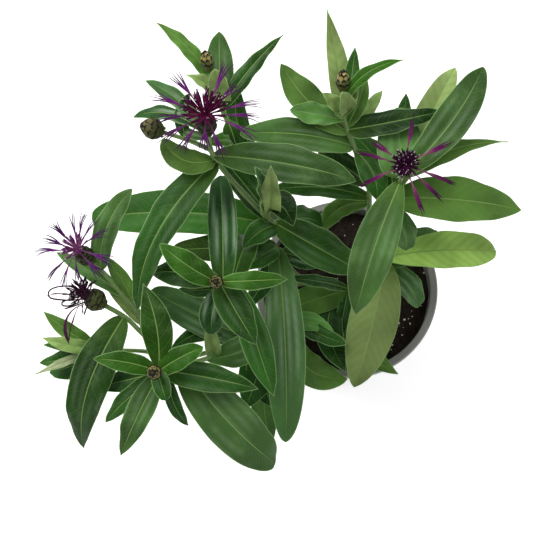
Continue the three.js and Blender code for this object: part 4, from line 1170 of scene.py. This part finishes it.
def soil_height(x, y):
    swells = np.sin(SWELL_X * x + 1) * np.cos(SWELL_Y * y)
    crumbs = CRUMB_SHARE * np.sin(CRUMB_X * x - CRUMB_Y * y)
    fine = sum(tall * value_noise(x, y, scale, seed) for tall, scale, seed in SOIL_NOISE)
    return SOIL_TOP + SOIL_RELIEF * (swells + crumbs) + fine


def on_soil(x, y):
    return np.array([x, y, soil_height(np.array([x]), np.array([y]))[0]])


@cache
def ball():
    """A ball of twenty faces."""
    shape = bmesh.new()
    bmesh.ops.create_icosphere(shape, subdivisions=1, radius=1)
    points = np.array([v.co[:] for v in shape.verts])
    faces = np.array([[v.index for v in f.verts] for f in shape.faces])
    shape.free()
    return points, faces


def add_lump(piece, middle, size, kind, tint):
    points, faces = ball()
    rough = points * (1 + rng.uniform(-LUMP_ROUGH, LUMP_ROUGH, (len(points), 1)))
    piece.add(middle + rough * size * rng.uniform(*LUMP_STRETCH, 3), faces, kind, tint)


def strewn():
    """A random place on the soil, clear of the pot."""
    out = (SOIL_OUT - CLEAR_OF_POT) * math.sqrt(rng.uniform())
    turn = rng.uniform(0, TURN)
    return on_soil(out * math.cos(turn), out * math.sin(turn))


def add_mound(piece):
    turn = evenly(SOIL_SIDES)
    out = np.append(SOIL_OUT * np.linspace(0, 1, SOIL_RINGS + 1)[1:], inner_radius(FLOOR) - GAP)
    x, y = out[:, None] * np.cos(turn), out[:, None] * np.sin(turn)
    height = soil_height(x, y)
    height[-1] = FLOOR + GAP
    rings = np.stack([x, y, height], axis=-1)
    points, faces = capped(rings, on_soil(0, 0), (0, 0, FLOOR + GAP), flipped=True)
    piece.add(points, faces, "soil", SOIL_BROWN)


def make_soil():
    """The soil with its crumbs, white grains and bits of root."""
    piece = Piece()
    add_mound(piece)
    for _ in range(CRUMBS):
        size = CRUMB_SIZE + CRUMB_MORE * rng.uniform() ** 3
        middle = strewn() + UP * size * CRUMB_UP
        add_lump(piece, middle, size, "soil", SOIL_BROWN * rng.uniform(*CRUMB_LIGHT))
    for across, down, size in PERLITE_SEEN:
        x, y, _ = seen((across, down, SOIL_TOP))
        add_lump(piece, on_soil(x, y) + UP * size * PERLITE_UP, size, "perlite", PERLITE_WHITE)
    for _ in range(GRAINS):
        size = rng.uniform(*GRAIN_SIZE)
        tint = GRAIN_WHITE * rng.uniform(*GRAIN_LIGHT)
        add_lump(piece, strewn() + UP * size * GRAIN_UP, size, "perlite", tint)
    for _ in range(ROOTS):
        middle = strewn() + UP * ROOT_UP
        way = unit(np.append(rng.normal(size=2), rng.normal(0, ROOT_SLOPE)))
        long = rng.uniform(*ROOT_LONG)
        tint = ROOT_BROWN * rng.uniform(*ROOT_LIGHT)
        spikes(piece, [middle], [way], [long], ROOT_RADIUS, "soil", tint)
    piece.make("soil_fine", "soil")


class Signal:
    """What a node gives out. Plain arithmetic on it adds the nodes that work it out."""

    def __init__(self, graph, socket):
        self.graph = graph
        self.socket = socket

    def math(self, operation, *others):
        return self.graph.made("Math", [self, *others], operation=operation)

    def __add__(self, other):
        return self.math("ADD", other)

    def __sub__(self, other):
        return self.math("SUBTRACT", other)

    def __mul__(self, other):
        return self.math("MULTIPLY", other)

    def __truediv__(self, other):
        return self.math("DIVIDE", other)

    def step(self, low, high, to_low=0.0, to_high=1.0):
        """A soft step from low to high."""
        given = [self, low, high, to_low, to_high]
        return self.graph.made("MapRange", given, interpolation_type="SMOOTHSTEP")

    def grey(self):
        return self.graph.made("CombineColor", [self, self, self])


class Graph:
    """A material under construction, with short words for its nodes."""

    def __init__(self, name):
        self.material = bpy.data.materials.new(name)
        self.material.use_nodes = True
        self.tree = self.material.node_tree
        self.tree.nodes.clear()

    def made(self, kind, given, output=0, **settings):
        """What a new node gives out, fed by a list for its first sockets or a dict by their names."""
        node = self.tree.nodes.new("ShaderNode" + kind)
        for key, value in settings.items():
            setattr(node, key, value)
        for key, value in given.items() if isinstance(given, dict) else enumerate(given):
            self.feed(node.inputs[key], value)
        return Signal(self, node.outputs[output])

    def feed(self, socket, value):
        if isinstance(value, Signal):
            self.tree.links.new(value.socket, socket)
        elif isinstance(value, (int, float)):
            socket.default_value = value
        else:
            given = [float(v) for v in value]
            socket.default_value = given + [1.0] * (len(socket.default_value) - len(given))

    def mix(self, share, first, second, blend="MIX"):
        given = {0: share, 6: first, 7: second}
        return self.made("Mix", given, 2, data_type="RGBA", blend_type=blend, clamp_factor=True)

    def noise(self, scale, detail=2.0, roughness=0.5, vector=None):
        given = {"Scale": scale, "Detail": detail, "Roughness": roughness}
        return self.made("TexNoise", {"Vector": vector or self.place(), **given})

    def cells(self, scale, feature="F1"):
        given = {"Vector": self.place(), "Scale": scale}
        return self.made("TexVoronoi", given, "Distance", feature=feature)

    def place(self):
        return self.made("TexCoord", [], "Object")

    def read(self, name, output="Vector"):
        return self.made("Attribute", [], output, attribute_name=name)

    def tint(self):
        return self.read("tint", "Color")

    def parts(self, name):
        """The three numbers of an attribute."""
        split = self.made("SeparateXYZ", [self.read(name)])
        return [Signal(self, socket) for socket in split.socket.node.outputs]

    def bump(self, height, strength, distance):
        return self.made("Bump", {"Strength": strength, "Distance": distance, "Height": height})

    def finish(self, colour, roughness, normal=None, **fixed):
        given = {"Base Color": colour, "Roughness": roughness}
        if normal:
            given["Normal"] = normal
        given.update((key.replace("_", " "), value) for key, value in fixed.items())
        output = self.tree.nodes.new("ShaderNodeOutputMaterial")
        self.feed(output.inputs[0], self.made("BsdfPrincipled", given))
        return self.material


def leaf_material():
    g = Graph("leaf_blade")
    u, v, edge = g.parts("blade")
    along, rib, under = g.parts("mark")
    # The side veins leave the midrib at a slant and bend forward towards the edge.
    out = v.math("ABSOLUTE")
    field = (u - (out * 0.75 + out * out * 0.04)) / VEIN_STEP
    field = field + v.math("GREATER_THAN", 0.0) * 0.5 + g.noise(260, 3) * 0.35
    saw = (field.math("FRACT") - 0.5).math("ABSOLUTE")
    vein = saw.step(0.055, 0.0)
    swell = saw.step(0.0, 0.5)
    net = g.cells(900, "DISTANCE_TO_EDGE").step(0.10, 0.0)
    midrib = rib.step(1.15, 0.55)
    midrib_shown = midrib * (along.step(1.0, 0.72) * 0.85 + 0.1)
    mottle = g.noise(38, 4, 0.6)
    grain = g.noise(1100, 3, 0.7)
    # The swelling fields between the veins are painted a little lighter: painted shade of the quilted
    # relief, besides the bump
    light = mottle * 0.8 + 0.57 + swell * 0.10 + grain * 0.24 - 0.11
    colour = g.mix(1.0, g.tint(), light.grey(), "MULTIPLY")
    # Pale patches of painted sheen on the downy surface, then a yellower foot
    sheen_patches = g.noise(75, 5, 0.68).step(0.5, 0.74)
    colour = g.mix(sheen_patches * 0.15, colour, linear(124, 156, 100))
    colour = g.mix(along.step(0.28, 0.0, 0.0, 0.26), colour, linear(92, 128, 44))
    colour = g.mix(vein.math("MAXIMUM", net * 0.35) * 0.3, colour, linear(108, 138, 62))
    rib_colour = g.mix(under, linear(124, 154, 84), linear(150, 168, 116))
    colour = g.mix(midrib_shown * 0.8, colour, rib_colour)
    colour = g.mix(edge.step(0.6, 0.12) * 0.55, colour, linear(150, 190, 120))
    height = swell * 0.5 - net * 0.25 + grain * 0.35 - midrib * 0.4
    rough = mottle * 0.22 + under * 0.2 + 0.33
    return g.finish(colour, rough, g.bump(height, 0.55, 0.00035), Specular_IOR_Level=0.12)


def stem_material():
    g = Graph("downy_stem")
    _, turn, _ = g.parts("mark")
    stripe = (turn * float(STEM_RIDGES)).math("COSINE").step(-0.4, 0.9)
    grain = g.noise(900, 4, 0.7)
    colour = g.mix(stripe * 0.35, g.tint(), linear(150, 172, 104))
    colour = g.mix(grain.step(0.5, 0.72) * 0.35, colour, linear(188, 198, 160))
    sheen = {"Sheen_Weight": 0.35, "Sheen_Roughness": 0.5, "Sheen_Tint": linear(222, 228, 208)}
    return g.finish(colour, 0.6, g.bump(grain, 0.5, 0.0004), **sheen)


def down_material():
    g = Graph("pale_down")
    return g.finish(g.mix(g.noise(300) * 0.3, g.tint(), linear(140, 170, 112)), 0.7, Sheen_Weight=0.3)


def scale_material():
    g = Graph("bud_scale")
    _, across, edge = g.parts("mark")
    grain = g.noise(1300, 3, 0.7)
    light = g.noise(700, 2, 0.6) * 0.9 + 0.5
    colour = g.mix(1.0, g.tint(), light.grey(), "MULTIPLY")
    stripe = (across * 15.0).math("COSINE").step(0.2, 0.9)
    colour = g.mix(stripe * 0.4, colour, linear(46, 48, 28))
    rim = (edge + (grain - 0.5) * 0.35).step(0.56, 0.78)
    colour = g.mix(rim, colour, linear(26, 20, 16))
    return g.finish(colour, 0.55, g.bump(grain, 0.5, 0.0003), Specular_IOR_Level=0.14)


def floret_material():
    g = Graph("floret")
    grain = g.noise(900, 3, 0.6)
    colour = g.mix(grain.step(0.42, 0.75) * 0.16, g.tint(), linear(112, 46, 104))
    colour = g.mix(grain.step(0.5, 0.25) * 0.4, colour, linear(34, 6, 36))
    return g.finish(colour, 0.6, g.bump(grain, 0.35, 0.0003), Specular_IOR_Level=0.12)


def style_material():
    g = Graph("pale_style")
    return g.finish(g.mix(g.noise(1500), g.tint(), linear(232, 214, 214)), 0.6)


def pot_material():
    g = Graph("pot_plastic")
    broad = g.noise(22, 4, 0.6)
    speck = g.noise(2200, 2, 0.6)
    stretched = g.made("Mapping", {"Vector": g.place(), "Scale": (1, 1, 9)})
    scuff = g.noise(120, 5, 0.75, stretched).step(0.6, 0.74)
    dust = g.noise(85, 5, 0.7).step(0.54, 0.78)
    colour = g.mix(broad * 0.3, g.tint(), linear(72, 71, 74))
    colour = g.mix(scuff * 0.35, colour, linear(142, 141, 143))
    colour = g.mix(dust * 0.25, colour, linear(112, 98, 84))
    colour = g.mix(speck.step(0.58, 0.7) * 0.2, colour, linear(150, 149, 150))
    return g.finish(colour, broad * 0.2 + 0.36, g.bump(speck, 0.25, 0.0003))


def soil_material():
    g = Graph("peat")
    clumps = g.noise(420, 5, 0.7)
    grain = g.noise(2400, 4, 0.8)
    colour = g.mix(clumps.step(0.35, 0.7, 0.0, 0.8), g.tint(), linear(24, 18, 15))
    colour = g.mix(grain.step(0.62, 0.75) * 0.5, colour, linear(104, 84, 66))
    bump = g.bump(clumps * 0.7 + grain * 0.5, 0.9, 0.0012)
    return g.finish(colour, 0.95, bump, Specular_IOR_Level=0.2)


def perlite_material():
    g = Graph("perlite")
    pits = g.cells(1800)
    colour = g.mix(pits.step(0.0, 0.6), g.tint(), linear(236, 230, 214))
    return g.finish(colour, 0.85, g.bump(pits, 0.6, 0.0004))


# The floor and the soft studio light, in metres
FLOOR_PALE, FLOOR_DARKER = (0.93, 0.93, 0.93), (0.9, 0.9, 0.9)
FLOOR_GLOW = 0.47
FLOOR_SIZE = 12
FLOOR_HEIGHT = -0.0002
SKY_STRENGTH = 0.5
LIGHT_TARGET = (-0.04, 0.0, 0.18)
# Each lamp's place, size, power and colour
LAMPS = {
    "key": ((-0.75, 0.55, 1.35), 1.3, 22, (1.0, 0.99, 0.97)),
    "fill": ((0.9, 0.2, 1.1), 0.9, 4, (0.95, 0.98, 1.0)),
}


def floor_material():
    g = Graph("pale_floor")
    colour = g.mix(g.noise(3, 2) * 0.02, FLOOR_PALE, FLOOR_DARKER)
    glow = {"Emission_Color": (1, 1, 1), "Emission_Strength": FLOOR_GLOW}
    return g.finish(colour, 0.8, Specular_IOR_Level=0.2, **glow)


def make_floor():
    mesh = bpy.data.meshes.new("floor")
    half = FLOOR_SIZE / 2
    corners = [(x * half, y * half, FLOOR_HEIGHT) for x, y in ((-1, -1), (1, -1), (1, 1), (-1, 1))]
    mesh.from_pydata(corners, [], [(0, 1, 2, 3)])
    mesh.materials.append(floor_material())
    in_scene("floor", mesh)


def softbox(name, place, size, power, colour):
    light = bpy.data.lights.new(name, "AREA")
    light.shape = "DISK"
    light.size = size
    light.energy = power
    light.color = colour
    lamp = in_scene(name, light)
    lamp.location = place
    lamp.rotation_mode = "QUATERNION"
    lamp.rotation_quaternion = (Vector(place) - Vector(LIGHT_TARGET)).to_track_quat("Z", "Y")


def light_studio():
    world = bpy.data.worlds.new("studio")
    world.use_nodes = True
    sky = world.node_tree.nodes["Background"]
    sky.inputs["Color"].default_value = (1, 1, 1, 1)
    sky.inputs["Strength"].default_value = SKY_STRENGTH
    bpy.context.scene.world = world
    for name, lamp in LAMPS.items():
        softbox(name, *lamp)


def place_camera():
    data = bpy.data.cameras.new("camera")
    data.sensor_width = SENSOR
    data.lens = SENSOR * VIEW_FOCAL / VIEW_SIZE
    data.clip_start = 0.05
    camera = in_scene("camera", data)
    camera.location = [float(value) for value in eye * MM]
    camera.rotation_euler = (math.radians(90 - VIEW_ELEVATION), 0, 0)
    bpy.context.scene.camera = camera
    bpy.context.scene.view_settings.view_transform = "Standard"


MATERIALS = {
    "leaf": leaf_material(),
    "stem": stem_material(),
    "down": down_material(),
    "scale": scale_material(),
    "floret": floret_material(),
    "style": style_material(),
    "pot": pot_material(),
    "soil": soil_material(),
    "perlite": perlite_material(),
}

make_pot()
make_soil()
for shoot_name in STEMS:
    make_shoot(shoot_name)
for head_name, head in HEADS.items():
    make_cup(head_name, head)
for flower_name, flower in FLORETS.items():
    make_florets(flower_name, flower)
make_floor()
light_studio()
place_camera()
